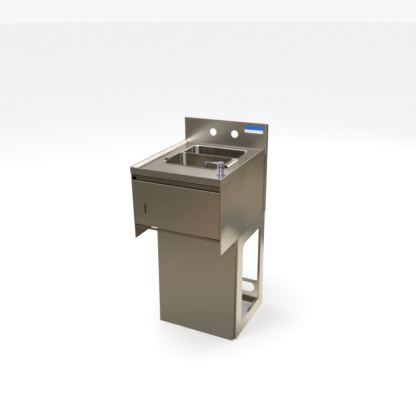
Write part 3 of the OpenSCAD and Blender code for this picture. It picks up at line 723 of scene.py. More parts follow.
def make_deck():
    bm = bmesh.new()
    verts = [bm.verts.new(corner) for corner in (
        (-HALF_W + RIM_IN, SPLASH_Y, DECK), (-HALF_W + RIM_IN, FRONT + RIM_IN, DECK),
        (HALF_W - RIM_IN, FRONT + RIM_IN, DECK), (HALF_W - RIM_IN, SPLASH_Y, DECK))]
    bm.faces.new(verts)
    chain = [bm.edges.get(pair) for pair in zip(verts, verts[1:])]
    for inset, z in ((RIM_FLAT, RIM), (0.0, RIM), (0.0, APRON_Z)):
        made = bmesh.ops.extrude_edge_only(bm, edges=chain)["geom"]
        fresh = verts_of(made)
        for vert in fresh:
            y = SPLASH_Y if vert.co.y > SPLASH_Y - TOUCH else FRONT + inset
            vert.co = copysign(HALF_W - inset, vert.co.x), y, z
        chain = edges_between(made, fresh)
    front = [edge for edge in chain if all(vert.co.y < FRONT + TOUCH for vert in edge.verts)]
    for vert in verts_of(bmesh.ops.extrude_edge_only(bm, edges=front)["geom"]):
        vert.co = copysign(SIDE_X - TOUCH, vert.co.x), vert.co.y + RIM_FLAT, vert.co.z
    bevel(bm, [edge for edge in bm.edges if len(edge.link_faces) == 2], BEND)
    # Painted highlight: sloped faces of the rim take the brighter slope steel
    for face in bm.faces:
        face.material_index = 1 if SLOPE_NORMALS[0] < abs(face.normal.z) < SLOPE_NORMALS[1] else 0
    edges = open_face(bm, widest(bm.faces))
    half_l = BOWL_HALF_L + BOWL_ROLL
    mouth = rectangle(BOWL_HALF_W + BOWL_ROLL, BOWL_MID.y - half_l, BOWL_MID.y + half_l, DECK)
    edges += wire_loop(bm, mouth, BOWL_R + BOWL_ROLL, TUB_STEPS)
    edges += circle_loop(bm, (SOAP.x, SOAP.y, DECK), SOAP_HOLE_R, (0, 0, 1))
    fill(bm, edges)
    sheet_piece("deck", bm, FROM_ABOVE, [DECK_STEEL, SLOPE_HIGHLIGHT_STEEL], ["deck_top"])


FAUCET_X = 0.0508
FAUCET_R = 0.016
FAUCET_UP = 0.046
SPLASH_FALL = 0.008
SPLASH_LIP = 0.025
SPLASH_STRIP = 0.0125
COVE_R = 0.004
COVE_STEPS = 8


def make_splash():
    top = SPLASH_HIGH.z
    depth = BACK - SPLASH_Y
    corners = [(x, SPLASH_Y, z) for x, z in (
        (-HALF_W, UNDER_DECK), (HALF_W, UNDER_DECK), (HALF_W, top), (-HALF_W, top))]
    back = Vector((0, depth, 0))
    sloped = Vector((0, depth, -SPLASH_FALL))
    turned = [(RIGHT, [(back, sloped)]), (LEFT, [(sloped, back)]),
              (TOP, [sloped, Vector((0, 0, -SPLASH_LIP))])]
    middles = [(side * FAUCET_X, SPLASH_Y, RIM + FAUCET_UP) for side in (-1, 1)]
    holes = [lambda bm, middle=middle: circle_loop(bm, middle, FAUCET_R, (0, 1, 0)) for middle in middles]
    bm = plate(corners, turned, BEND, holes)
    skirt = [edge for edge in bm.edges if len(edge.link_faces) == 1 and all(
        abs(vert.co.z - UNDER_DECK) < TOUCH and abs(vert.co.x) > SIDE_X for vert in edge.verts)]
    for vert in verts_of(bmesh.ops.extrude_edge_only(bm, edges=skirt)["geom"]):
        vert.co.z = APRON_Z
    bmesh.ops.bisect_plane(bm, geom=bm.verts[:] + bm.edges[:] + bm.faces[:],
                           plane_co=(0, SPLASH_Y + SPLASH_STRIP, 0), plane_no=(0, 1, 0))
    # Painted highlight on the front strip of each side return; the rest of the return takes stile steel
    for face in bm.faces:
        middle = face.calc_center_median()
        if abs(middle.x) > HALF_W - TOUCH:
            face.material_index = 1 if middle.y > SPLASH_Y + SPLASH_STRIP else 2
    sheet_piece("splash", bm, FROM_FRONT, [SPLASH_STEEL, STILE_STEEL, SPLASH_EDGE_HIGHLIGHT_STEEL], ["backsplash"])


def make_cove():
    """Ground weld between the deck and the splash."""
    bm = bmesh.new()
    half = HALF_W - RIM_IN
    arc = [(SPLASH_Y - COVE_R + COVE_R * sin(angle), DECK + COVE_R - COVE_R * cos(angle))
           for angle in (pi / 2 * step / COVE_STEPS for step in range(COVE_STEPS + 1))]
    section = [bm.verts.new((-half, y, z)) for y, z in [(SPLASH_Y + EDGE, DECK - EDGE)] + arc]
    face = bm.faces.new(section)
    made = bmesh.ops.extrude_face_region(bm, geom=[face])["geom"]
    bmesh.ops.translate(bm, vec=(2 * half, 0, 0), verts=verts_of(made))
    solid_piece("splash_weld", bm, DECK_STEEL, [], edge=0)


SIDE_HEM = 0.0045
PANEL_GAP = 0.0008
JOGGLE_H = 0.0026
JOGGLE_IN = 0.003
PANEL_BEND = 0.0012
SIDE_FRONT = PANEL_LOW.y
SIDE_END = PANEL_HIGH.y
LAP_X = 0.1875
LAP_FRONT = FRONT + 0.207
LAP_BACK = FRONT + 0.456
LAP_Z0 = 0.455
LAP_Z1 = 0.500

# Edges of the panel's outline that are turned in or joggled
PANEL_FOOT, PANEL_TOP, PANEL_NOSE = 0, 3, 4


def make_side_panel(side, name):
    inward = Vector((-side * SIDE_HEM, 0, 0))
    low = SIDE_Z + PANEL_GAP
    corners = [(side * SIDE_X, y, z) for y, z in (
        (SIDE_FRONT, low), (LAP_FRONT - EDGE, low), (SIDE_END, low), (SIDE_END, APRON_Z - JOGGLE_H),
        (SIDE_FRONT, APRON_Z - JOGGLE_H))]
    joggle = [Vector((-side * JOGGLE_IN, 0, 0)), Vector((0, 0, UNDER_DECK - APRON_Z))]
    bm = plate(corners, [(PANEL_FOOT, [inward]), (PANEL_TOP, joggle), (PANEL_NOSE, [inward])], PANEL_BEND)
    sheet_piece("side_skin_" + name, bm, (side * FAR, 0, 0), [SIDE_STEEL, INNER_STEEL],
                ["side_panel_" + name], inner=1)


# Bowl and basket

TUB_BEND_STEPS = 7


def make_tub(bm, middle, half_w, half_l, floor, top, corner_r, floor_bend):
    """Rounded box, open at the top. Gives back the edges of its mouth and leaves its floor as one face."""
    base = rectangle(half_w, middle.y - half_l, middle.y + half_l, floor)
    loop = wire_loop(bm, base, corner_r, TUB_STEPS)
    bmesh.ops.contextual_create(bm, geom=loop)
    made = bmesh.ops.extrude_edge_only(bm, edges=loop)["geom"]
    fresh = verts_of(made)
    for vert in fresh:
        vert.co.z = top
    mouth = edges_between(made, fresh)
    bevel(bm, [edge for edge in bm.edges if len(edge.link_faces) == 2 and edge not in mouth
               and all(abs(vert.co.z - floor) < TOUCH for vert in edge.verts)], floor_bend, TUB_BEND_STEPS)
    return [edge for edge in bm.edges if len(edge.link_faces) == 1]


def flare(bm, edges, middle, half_w, half_l, out, z):
    """Extrudes a mouth's edges to a wider loop at a height."""
    made = bmesh.ops.extrude_edge_only(bm, edges=edges)["geom"]
    fresh = verts_of(made)
    for vert in fresh:
        vert.co.x *= (half_w + out) / half_w
        vert.co.y = middle.y + (vert.co.y - middle.y) * (half_l + out) / half_l
        vert.co.z = z
    return edges_between(made, fresh)


BOWL_BEND = 0.016
ROLL_STEPS = 5
FLANGE_GAP = 0.0002
DRAIN_LOW, DRAIN_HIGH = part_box("drain_flange")
DRAIN_R = 0.0223


def make_bowl():
    bm = bmesh.new()
    mouth = make_tub(bm, BOWL_MID, BOWL_HALF_W, BOWL_HALF_L, BOWL_FLOOR, DECK, BOWL_R, BOWL_BEND)
    flare(bm, mouth, BOWL_MID, BOWL_HALF_W, BOWL_HALF_L, BOWL_ROLL + HAIR, DECK)
    bevel(bm, [edge for edge in mouth if edge.is_valid], BOWL_ROLL, ROLL_STEPS)
    # Painted highlight: faces of the rolled rim take the near-white rim steel
    for face in bm.faces:
        face.material_index = 1 if face.calc_center_median().z > DECK - BOWL_ROLL else 0
    edges = open_face(bm, widest([face for face in bm.faces if abs(face.normal.z) > FLAT]))
    edges += circle_loop(bm, (0, BOWL_MID.y, BOWL_FLOOR), DRAIN_R, (0, 0, 1))
    fill(bm, edges)
    loops = []
    for out in (BOWL_FLANGE, BOWL_ROLL + SHEET):
        half_l = BOWL_HALF_L + out
        ring = rectangle(BOWL_HALF_W + out, BOWL_MID.y - half_l, BOWL_MID.y + half_l,
                         UNDER_DECK - FLANGE_GAP)
        loops += wire_loop(bm, ring, BOWL_R + out, TUB_STEPS)
    fill(bm, loops)
    sheet_piece("bowl", bm, FROM_ABOVE, [BOWL_STEEL, ROLL_HIGHLIGHT_STEEL], ["sink_bowl"])


BASKET_LOW, BASKET_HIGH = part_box("strainer_basket")
BASKET_T = 0.0012
BASKET_CLEAR = 0.006
BASKET_R = BOWL_R - BASKET_CLEAR
BASKET_BEND = 0.009
BASKET_HEM_OUT = 0.0032
BASKET_HEM_DOWN = 0.006
MESH_HOLE = 0.008
MESH_PITCH = 0.0125
MESH_CORNER = 0.0016
MESH_CORNER_STEPS = 2
BASKET_HEM_BEND = 0.0014
BASKET_EDGE = 0.00025
TAB_RISE = 0.006
TAB_SLANT = 0.005
TAB_L = 0.100
TAB_BEND = 0.0016
TAB_EDGE = 0.0002


def make_basket():
    bm = bmesh.new()
    half_w = BOWL_HALF_W - BASKET_CLEAR - BASKET_T
    half_l = (BASKET_HIGH.y - BASKET_LOW.y) / 2 - BASKET_T
    middle = (BASKET_LOW + BASKET_HIGH) / 2
    floor = BASKET_LOW.z + BASKET_T
    top = DECK + BASKET_T
    mouth = make_tub(bm, middle, half_w, half_l, floor, top, BASKET_R - BASKET_T, BASKET_BEND)
    hem = flare(bm, mouth, middle, half_w, half_l, BASKET_HEM_OUT, top)
    made = bmesh.ops.extrude_edge_only(bm, edges=hem)["geom"]
    bmesh.ops.translate(bm, vec=(0, 0, -BASKET_HEM_DOWN), verts=verts_of(made))
    bevel(bm, [edge for edge in mouth + hem if edge.is_valid], BASKET_HEM_BEND)
    open_face(bm, widest([face for face in bm.faces if abs(face.normal.z) > FLAT]))
    columns = int((2 * (half_w + BASKET_T) - 2 * BASKET_R - MESH_HOLE) / MESH_PITCH) + 1
    rows = int((2 * (half_l + BASKET_T) - 2 * BASKET_R - MESH_HOLE) / MESH_PITCH) + 1
    left = -columns * MESH_PITCH / 2
    low = middle.y - rows * MESH_PITCH / 2
    square = [(0, 0), (1, 0), (1, 1), (0, 1)]
    known = set(bm.faces)
    cell = wire_loop(bm, [(left + x * MESH_PITCH, low + y * MESH_PITCH, floor) for x, y in square])
    inset = (MESH_PITCH - MESH_HOLE) / 2
    cell += wire_loop(bm, [(left + inset + x * MESH_HOLE, low + inset + y * MESH_HOLE, floor)
                           for x, y in square], MESH_CORNER, MESH_CORNER_STEPS)
    fill(bm, cell)
    first = [face for face in bm.faces if face not in known]
    geom = list(dict.fromkeys([item for face in first for item in (*face.verts, *face.edges, face)]))
    for row in range(rows):
        for column in range(columns):
            if row or column:
                copy = verts_of(bmesh.ops.duplicate(bm, geom=geom)["geom"])
                bmesh.ops.translate(bm, vec=(column * MESH_PITCH, row * MESH_PITCH, 0), verts=copy)
    bmesh.ops.remove_doubles(bm, verts=bm.verts, dist=TOUCH)
    high = low + rows * MESH_PITCH
    border = [edge for edge in bm.edges if len(edge.link_faces) == 1
              and all(abs(vert.co.z - floor) < TOUCH for vert in edge.verts)
              and (all(abs(abs(vert.co.x) + left) < TOUCH for vert in edge.verts)
                   or all(abs(vert.co.y - low) < TOUCH for vert in edge.verts)
                   or all(abs(vert.co.y - high) < TOUCH for vert in edge.verts))]
    rim = [edge for edge in bm.edges if edge.is_valid and len(edge.link_faces) == 1
           and all(abs(vert.co.z - floor) < TOUCH for vert in edge.verts)
           and all(abs(vert.co.x) > -left + TOUCH or vert.co.y < low - TOUCH or vert.co.y > high + TOUCH
                   for vert in edge.verts)]
    fill(bm, border + rim)
    sheet_piece("basket", bm, FROM_ABOVE, BASKET_STEEL, ["strainer_basket"], body="strainer_basket",
                thickness=BASKET_T, edge=BASKET_EDGE)


def make_basket_tabs():
    bm = bmesh.new()
    wall = BOWL_HALF_W - BASKET_CLEAR - BASKET_T
    reach = BASKET_HIGH.x
    high = DECK + TAB_RISE + BASKET_T
    y0 = BASKET_HIGH.y - BASKET_R - TAB_L
    for side in (-1, 1):
        path = [(wall, DECK), (wall, high), (reach - TAB_SLANT, high), (reach, DECK + HAIR)]
        verts = [bm.verts.new((side * x, y0, z)) for x, z in path]
        edges = [bm.edges.new(pair) for pair in zip(verts, verts[1:])]
        made = bmesh.ops.extrude_edge_only(bm, edges=edges)["geom"]
        bmesh.ops.translate(bm, vec=(0, TAB_L, 0), verts=verts_of(made))
    bevel(bm, [edge for edge in bm.edges if len(edge.link_faces) == 2], TAB_BEND)
    sheet_piece("basket_tabs", bm, FROM_ABOVE, BOWL_STEEL, [], body="strainer_basket",
                thickness=BASKET_T, edge=TAB_EDGE)


# Towel cabinet

DOOR_LOW, DOOR_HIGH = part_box("towel_door")
SIGHT_IN = 0.052
SIGHT_UP = 0.074
SIGHT_W = 0.0075
SIGHT_H = 0.041
SIGHT_CORNER = 0.0015
SIGHT_CORNER_STEPS = 3


def make_door():
    corners = [(x, DOOR_LOW.y, z) for x, z in (
        (DOOR_LOW.x, DOOR_LOW.z), (DOOR_HIGH.x, DOOR_LOW.z), (DOOR_HIGH.x, DOOR_HIGH.z),
        (DOOR_LOW.x, DOOR_HIGH.z))]
    inward = Vector((0, DOOR_HIGH.y - DOOR_LOW.y, 0))
    slot = [(DOOR_LOW.x + SIGHT_IN + x * SIGHT_W / 2, DOOR_LOW.y, DOOR_LOW.z + SIGHT_UP + z * SIGHT_H / 2)
            for x, z in ((-1, -1), (1, -1), (1, 1), (-1, 1))]
    bm = plate(corners, [(edge, [inward]) for edge in (BOTTOM, RIGHT, TOP, LEFT)], BEND,
               [lambda bm: wire_loop(bm, slot, SIGHT_CORNER, SIGHT_CORNER_STEPS)])
    sheet_piece("door_skin", bm, FROM_FRONT, FRONT_STEEL, ["towel_door"], body="towel_door")


RAIL_LOW, RAIL_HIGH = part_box("top_rail")
NOTCH_W = 0.021
NOTCH_H = 0.011
# Height of the painted shadow strip at the top of the rail, under the apron
SHADE_H = 0.0055

# Edge of the notched outline that is turned back
RAIL_FOOT = 2


def make_rail():
    notch_x = RAIL_LOW.x + NOTCH_W
    notch_z = RAIL_LOW.z + NOTCH_H
    corners = [(x, RAIL_LOW.y, z) for x, z in (
        (RAIL_LOW.x, notch_z), (notch_x, notch_z), (notch_x, RAIL_LOW.z), (RAIL_HIGH.x, RAIL_LOW.z),
        (RAIL_HIGH.x, RAIL_HIGH.z), (RAIL_LOW.x, RAIL_HIGH.z))]
    bm = plate(corners, [(RAIL_FOOT, [Vector((0, RAIL_HIGH.y - RAIL_LOW.y, 0))])])
    # Painted shadow: the rail's top strip under the apron takes the near-black edge steel
    shade_z = APRON_Z - SHADE_H
    bmesh.ops.bisect_plane(bm, geom=bm.verts[:] + bm.edges[:] + bm.faces[:], plane_co=(0, 0, shade_z),
                           plane_no=(0, 0, 1))
    for face in bm.faces:
        face.material_index = 1 if face.calc_center_median().z > shade_z else 0
    # Painted shade: the rail's face takes the darker rail steel
    sheet_piece("rail_skin", bm, FROM_FRONT, [RAIL_SHADED_STEEL, RAIL_SHADE], ["top_rail"])


TRAY_LOW, TRAY_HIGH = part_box("towel_tray")
DIVIDER_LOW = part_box("towel_divider")[0]
TRAY_SLOT_FRONT = 0.022
TRAY_SLOT_W = 0.048
TRAY_SLOT_END = 0.020
TRAY_SLOT_R = 0.003


def make_tray():
    z = TRAY_LOW.z
    corners = [(TRAY_LOW.x, TRAY_LOW.y, z), (TRAY_HIGH.x, TRAY_LOW.y, z), (TRAY_HIGH.x, TRAY_HIGH.y, z),
               (TRAY_LOW.x, TRAY_HIGH.y, z)]
    up = Vector((0, 0, TRAY_HIGH.z - TRAY_LOW.z))
    x0 = TRAY_LOW.x + TRAY_SLOT_END
    x1 = DIVIDER_LOW.x + SHEET - TRAY_SLOT_END / 2
    y0 = FRONT + TRAY_SLOT_FRONT
    slot = [(x0, y0, z), (x1, y0, z), (x1, y0 + TRAY_SLOT_W, z), (x0, y0 + TRAY_SLOT_W, z)]
    bm = plate(corners, [(BOTTOM, [up]), (RIGHT, [up]), (LEFT, [up])], BEND,
               [lambda bm: wire_loop(bm, slot, TRAY_SLOT_R, BEND_STEPS)])
    # Painted shade: the tray takes the darker rail steel
    sheet_piece("tray_skin", bm, FROM_BELOW, RAIL_SHADED_STEEL, ["towel_tray"])


# Pedestal

LEG_LOW, LEG_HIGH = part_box("leg_frame_right")
FRAME_LEAN = 0.014
FRAME_REAR = LEG_HIGH.y
UPRIGHT_FRONT = 0.057
UPRIGHT_REAR = 0.048
BAR_TOP = 0.053
BAR_BOTTOM = 0.051
WINDOW_R = 0.022
WINDOW_LOW_R = 0.006
FRAME_FLANGE = 0.0195
WINDOW_EDGE = 0.0115
JOIN_R = 0.0033
JOIN_UP = 0.039
JOIN_IN = 0.040
JOIN_FRONT_IN = 0.012
JOIN_TOP_SHARE = 0.25
JOIN_STEPS = 20
WINDOW_STEPS = 8

# Edges of the frame's outline that are turned in
FRAME_FOOT, FRAME_BACK, FRAME_NOSE = 0, 1, 3


def frame_y(z):
    return LEG_LOW.y + FRAME_LEAN * z / SIDE_Z


def make_leg_frame(side, name):
    x = side * SIDE_X
    inward = Vector((-side, 0, 0))
    window_top = SIDE_Z - BAR_TOP
    window_rear = FRAME_REAR - UPRIGHT_REAR
    corners = [(x, y, z) for y, z in (
        (frame_y(0), 0), (FRAME_REAR, 0), (FRAME_REAR, SIDE_Z), (frame_y(SIDE_Z), SIDE_Z))]
    window = [(x, y, z) for y, z in (
        (frame_y(BAR_BOTTOM) + UPRIGHT_FRONT, BAR_BOTTOM), (window_rear, BAR_BOTTOM),
        (window_rear, window_top), (frame_y(window_top) + UPRIGHT_FRONT, window_top))]
    radii = [WINDOW_LOW_R, WINDOW_LOW_R, WINDOW_LOW_R, WINDOW_R]
    joins = [(frame_y(JOIN_UP) + UPRIGHT_FRONT - JOIN_FRONT_IN, JOIN_UP), (FRAME_REAR - JOIN_IN, JOIN_UP),
             (FRAME_REAR - JOIN_IN, window_top + BAR_TOP * JOIN_TOP_SHARE)]
    holes = [lambda bm: wire_loop(bm, window, radii, WINDOW_STEPS)]
    holes += [lambda bm, y=y, z=z: circle_loop(bm, (x, y, z), JOIN_R, (1, 0, 0), JOIN_STEPS)
              for y, z in joins]
    foot = inward * (LEG_HIGH.x - LEG_LOW.x)
    flange = inward * FRAME_FLANGE
    turned = [(FRAME_FOOT, [foot]), (FRAME_BACK, [flange]), (FRAME_NOSE, [flange])]
    bm = plate(corners, turned, BEND, holes)
    lips = [edge for edge in bm.edges if len(edge.link_faces) == 1 and all(
        abs(vert.co.x - x) < TOUCH for vert in edge.verts) and (
        all(abs(vert.co.y - window_rear) < TOUCH for vert in edge.verts)
        or all(abs(vert.co.z - BAR_BOTTOM) < TOUCH for vert in edge.verts))]
    made = bmesh.ops.extrude_edge_only(bm, edges=lips)["geom"]
    bmesh.ops.translate(bm, vec=inward * WINDOW_EDGE, verts=verts_of(made))
    bm.faces.new([bm.verts.new((side * LAP_X, y, z)) for y, z in (
        (LAP_FRONT, LAP_Z0), (LAP_BACK, LAP_Z0), (LAP_BACK, LAP_Z1), (LAP_FRONT, LAP_Z1))])
    sheet_piece("frame_skin_" + name, bm, (side * FAR, 0, 0), FRAME_STEEL, ["leg_frame_" + name])


FRONTPANEL_LOW, FRONTPANEL_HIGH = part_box("pedestal_front")
PANEL_LEAN = 0.026


def make_pedestal_front():
    half = FRONTPANEL_HIGH.x
    top = FRONTPANEL_HIGH.z
    low_y = FRONTPANEL_LOW.y
    high_y = low_y + PANEL_LEAN
    corners = [(-half, low_y, 0), (half, low_y, 0), (half, high_y, top), (-half, high_y, top)]
    at_floor = Vector((0, frame_y(0) - low_y, 0))
    at_top = Vector((0, frame_y(top) - high_y, 0))
    bm = plate(corners, [(RIGHT, [(at_floor, at_top)]), (LEFT, [(at_top, at_floor)])], BEND)
    sheet_piece("pedestal_skin", bm, FROM_FRONT, FRONT_STEEL, ["pedestal_front"])


CHANNEL_LAP = 0.010


def make_front_crossmember():
    """Channel whose web reaches a little way down behind the pedestal's front."""
    low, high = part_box("front_crossmember")
    foot = low.z - CHANNEL_LAP
    corners = [(x, low.y, z) for x, z in (
        (low.x, foot), (high.x, foot), (high.x, high.z), (low.x, high.z))]
    back = Vector((0, high.y - low.y, 0))
    bm = plate(corners, [(BOTTOM, [back]), (TOP, [back])])
    # Painted shade: the channel takes the darker rail steel
    sheet_piece("front_channel", bm, FROM_FRONT, RAIL_SHADED_STEEL, ["front_crossmember"])


CROSS_HOLE_SIDE = 0.0345
CROSS_HOLE_H = 0.054
CROSS_HOLE_SHARE = 0.61
CROSS_HOLE_STEPS = 12
FLANGE_END = 0.0115

# Edges of the outline, between its two ends, that are turned forward
CROSS_FOOT, CROSS_TOP = 1, 5


def make_rear_crossmember():
    low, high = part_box("rear_crossmember")
    y = high.y
    half = high.x - FLANGE_END
    corners = [(x, y, z) for x, z in (
        (low.x, low.z), (-half, low.z), (half, low.z), (high.x, low.z), (high.x, high.z), (half, high.z),
        (-half, high.z), (low.x, high.z))]
    forward = Vector((0, low.y - high.y, 0))
    mid_z = low.z + (high.z - low.z) * CROSS_HOLE_SHARE
    hole_half = HALF_W - CROSS_HOLE_SIDE
    slot = [(x * hole_half, y, mid_z + z * CROSS_HOLE_H / 2)
            for x, z in ((-1, -1), (1, -1), (1, 1), (-1, 1))]
    bm = plate(corners, [(CROSS_FOOT, [forward]), (CROSS_TOP, [forward])], BEND,
               [lambda bm: wire_loop(bm, slot, CROSS_HOLE_H / 2 - HAIR, CROSS_HOLE_STEPS)])
    # Painted shade: level flanges take the darker rail steel, the web the frame steel
    for face in bm.faces:
        face.material_index = 1 if abs(face.normal.z) > FLAT else 0
    sheet_piece("rear_channel", bm, FROM_BEHIND, [FRAME_STEEL, RAIL_SHADED_STEEL], ["rear_crossmember"])


# Fasteners

THREAD_PITCH = 0.0008
THREAD_DEPTH = 0.0003
THREAD_CREST = 0.3
THREAD_ROOT = 0.8
THREAD_STEPS = 20
NUT_STEPS = 24
NUT_CHAMFER = 0.0004
NUT_CHAMFER_STEPS = 2
NUT_SIDE_SHARE = 1 / 3
NUT_EDGE = 0.00015
FIT = 0.00006

# Angle in radians that tells a nut's outer corners from its bore
SHARP = 1


def thread(radius, length):
    """Threaded rod along Z with a chamfered tip."""
    count = int((length - THREAD_DEPTH) / THREAD_PITCH)
    profile = [(0, 0), (radius, 0)]
    for turn in range(count):
        profile += [(radius, (turn + THREAD_CREST) * THREAD_PITCH),
                    (radius - THREAD_DEPTH, (turn + THREAD_ROOT) * THREAD_PITCH)]
    profile += [(radius - THREAD_DEPTH, length), (0, length)]
    return turned_solid(profile, THREAD_STEPS)


def stud_places(node, count, side_x):
    """Middles of a row of round studs on each side, from the node's box."""
    low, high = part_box(node)
    radius = (high.z - low.z) / 2
    z = (low.z + high.z) / 2
    first, last = low.y + radius, high.y - radius
    for side in (-1, 1):
        for index in range(count):
            yield side, radius, Vector((side * side_x, first + (last - first) * index / (count - 1), z))


def make_studs(name, stud_node, nut_node, count, length, nut_flats, nut_h):
    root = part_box(stud_node)[1].x
    studs, nuts = [], []
    for side, radius, place in stud_places(stud_node, count, root):
        studs.append(moved(thread(radius, length), along((-side, 0, 0), place)))
        nut = hex_ring(nut_flats, 2 * (radius + FIT), SHEET, SHEET + nut_h, NUT_STEPS)
        bevel(nut, [edge for edge in nut.edges if abs(edge.verts[0].co.z - edge.verts[1].co.z) < TOUCH
                    and edge.calc_length() > nut_flats * NUT_SIDE_SHARE and len(edge.link_faces) == 2
                    and edge.calc_face_angle() > SHARP], NUT_CHAMFER, NUT_CHAMFER_STEPS)
        nuts.append(moved(nut, along((-side, 0, 0), place)))
    solid_piece(name + "_studs", join(studs), ZINC, [stud_node], edge=0)
    solid_piece(name + "_nuts", join(nuts), ZINC, [nut_node], edge=NUT_EDGE)


# Drain

DRAIN_THREAD_R = 0.02205
DRAIN_BORE_R = 0.01755
DRAIN_PITCH = 0.0018
DRAIN_GROOVE = 0.0006
DRAIN_CREST = 0.35
DRAIN_ROOT = 0.85
DRAIN_LIP_H = 0.0008
DRAIN_RISE_W = 0.004
DRAIN_TOP_W = 0.008
DRAIN_DISH_W = 0.002
DRAIN_DISH = 0.0012
DRAIN_BORE_DROP = 0.003
BAR_HALF_W = 0.002
BAR_ROOT = 0.001
BAR_DROP = 0.0004
SEAL_EDGE = 0.0008
CAST_EDGE = 0.0008
LOCKNUT_FLATS = 0.059
SLIP_LIP_H = 0.003
SLIP_LIP_W = 0.004
SLIP_LIP_EDGE = 0.001
SLIP_BORE_R = 0.01911
TAIL_R = 0.01905
TAIL_WALL = 0.0012
TAIL_NECK = 0.0003
TAIL_STEP = 0.0006


def at_drain(bm):
    return moved(bm, Matrix.Translation((0, BOWL_MID.y, 0)))


def ring_profile(inner, outer, low, high, edge):
    return [(inner, low), (outer - edge, low), (outer, low + edge), (outer, high - edge),
            (outer - edge, high), (inner, high)]


def make_drain_flange():
    """Flange with a threaded body and two crossed bars over its bore."""
    rim_r = DRAIN_HIGH.x
    top = DRAIN_HIGH.z
    end = DRAIN_LOW.z
    profile = [(DRAIN_BORE_R, end), (DRAIN_THREAD_R, end)]
    for turn in range(int((BOWL_FLOOR - SHEET - end) / DRAIN_PITCH) - 1):
        profile += [(DRAIN_THREAD_R, end + (turn + DRAIN_CREST) * DRAIN_PITCH),
                    (DRAIN_THREAD_R - DRAIN_GROOVE, end + (turn + DRAIN_ROOT) * DRAIN_PITCH)]
    profile += [(DRAIN_THREAD_R, BOWL_FLOOR - SHEET), (DRAIN_THREAD_R, BOWL_FLOOR), (rim_r, BOWL_FLOOR),
                (rim_r, BOWL_FLOOR + DRAIN_LIP_H), (rim_r - DRAIN_RISE_W, top), (rim_r - DRAIN_TOP_W, top),
                (DRAIN_BORE_R + DRAIN_DISH_W, top - DRAIN_DISH), (DRAIN_BORE_R, top - DRAIN_BORE_DROP)]
    body = turned_solid(profile, FINE_STEPS, closed=True)
    reach = DRAIN_BORE_R + BAR_ROOT
    bars = [moved(box_solid((-reach, -BAR_HALF_W, BOWL_FLOOR), (reach, BAR_HALF_W, top - BAR_DROP)),
                  Matrix.Rotation(turn, 4, "Z")) for turn in (0, pi / 2)]
    solid_piece("drain_body", at_drain(join([body] + bars)), CHROME, ["drain_flange"])


def make_drain_rings():
    bore_r = DRAIN_THREAD_R + FIT
    low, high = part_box("drain_gasket")
    seal = turned_solid(ring_profile(bore_r, high.x, low.z, high.z, SEAL_EDGE), FINE_STEPS, closed=True)
    solid_piece("drain_seal", at_drain(seal), RUBBER, ["drain_gasket"])
    low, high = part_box("drain_locknut")
    nut = hex_ring(min(high.y - low.y, LOCKNUT_FLATS), 2 * bore_r, low.z, high.z)
    solid_piece("drain_nut", at_drain(nut), BRASS, ["drain_locknut"], edge=CAST_EDGE)
    low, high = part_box("drain_coupling_nut")
    lip_z = low.z + SLIP_LIP_H
    nut = hex_ring(high.y - low.y, 2 * bore_r, lip_z, high.z)
    lip = turned_solid(ring_profile(SLIP_BORE_R, DRAIN_THREAD_R + SLIP_LIP_W, low.z, lip_z, SLIP_LIP_EDGE),
                       FINE_STEPS, closed=True)
    solid_piece("slip_nut", at_drain(join([nut, lip])), CHROME, ["drain_coupling_nut"],
                edge=CAST_EDGE)


def make_tail_pipe():
    low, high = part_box("drain_tailpiece")
    nut_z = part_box("drain_coupling_nut")[0].z
    bore_r = TAIL_R - TAIL_WALL
    neck_r = TAIL_R - TAIL_NECK
    lip_z = nut_z + SLIP_LIP_H
    profile = [(bore_r, low.z), (TAIL_R, low.z), (TAIL_R, nut_z - TAIL_STEP), (neck_r, nut_z - TAIL_NECK),
               (neck_r, lip_z), (high.x, lip_z), (high.x, high.z), (bore_r, high.z)]
    tube = turned_solid(profile, FINE_STEPS, closed=True)
    solid_piece("tail_pipe", at_drain(tube), CHROME, ["drain_tailpiece"])


# Soap dispenser

ROD_R = 0.004
FLANGE_LIP = 0.0009
FLANGE_RISE = ((0.0004, 0.0013), (0.0022, 0.0016), (0.0036, 0.0024))
FLANGE_TOP_W = 0.001
FLANGE_EDGE = 0.0002
GUIDE_GAP = 0.0003
COLLAR_GROOVE = 0.0007
COLLAR_GROOVE_DROPS = (0.0085, 0.008, 0.0068, 0.0063)
COLLAR_CHAMFER = 0.001
GUIDE_CHAMFER = 0.0006
SHANK_PITCH = 0.0025
SHANK_TEETH = ((0.0009, 0.0002), (0.0, 0.0009), (0.0, 0.0014), (0.0009, 0.0022))
SHANK_TIP = 0.001
SHANK_PLAIN = 0.002
SHANK_UNCUT = 0.004
WASHER_EDGE = 0.0005
SOAP_NUT_EDGE = 0.0006


def at_soap(bm):
    return moved(bm, Matrix.Translation((SOAP.x, SOAP.y, 0)))


def half_width(node):
    low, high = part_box(node)
    return (high.x - low.x) / 2


def make_soap_flange():
    low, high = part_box("soap_flange")
    flange_r = half_width("soap_flange")
    collar_r = half_width("soap_collar")
    inner = collar_r + FIT
    profile = [(inner, low.z), (flange_r, low.z), (flange_r, low.z + FLANGE_LIP)]
    profile += [(flange_r - inward, low.z + up) for inward, up in FLANGE_RISE]
    profile += [(collar_r + FLANGE_TOP_W, high.z), (inner, high.z)]
    tube = turned_solid(profile, FINE_STEPS, closed=True)
    solid_piece("soap_ring", at_soap(tube), CHROME, ["soap_flange"], edge=FLANGE_EDGE)


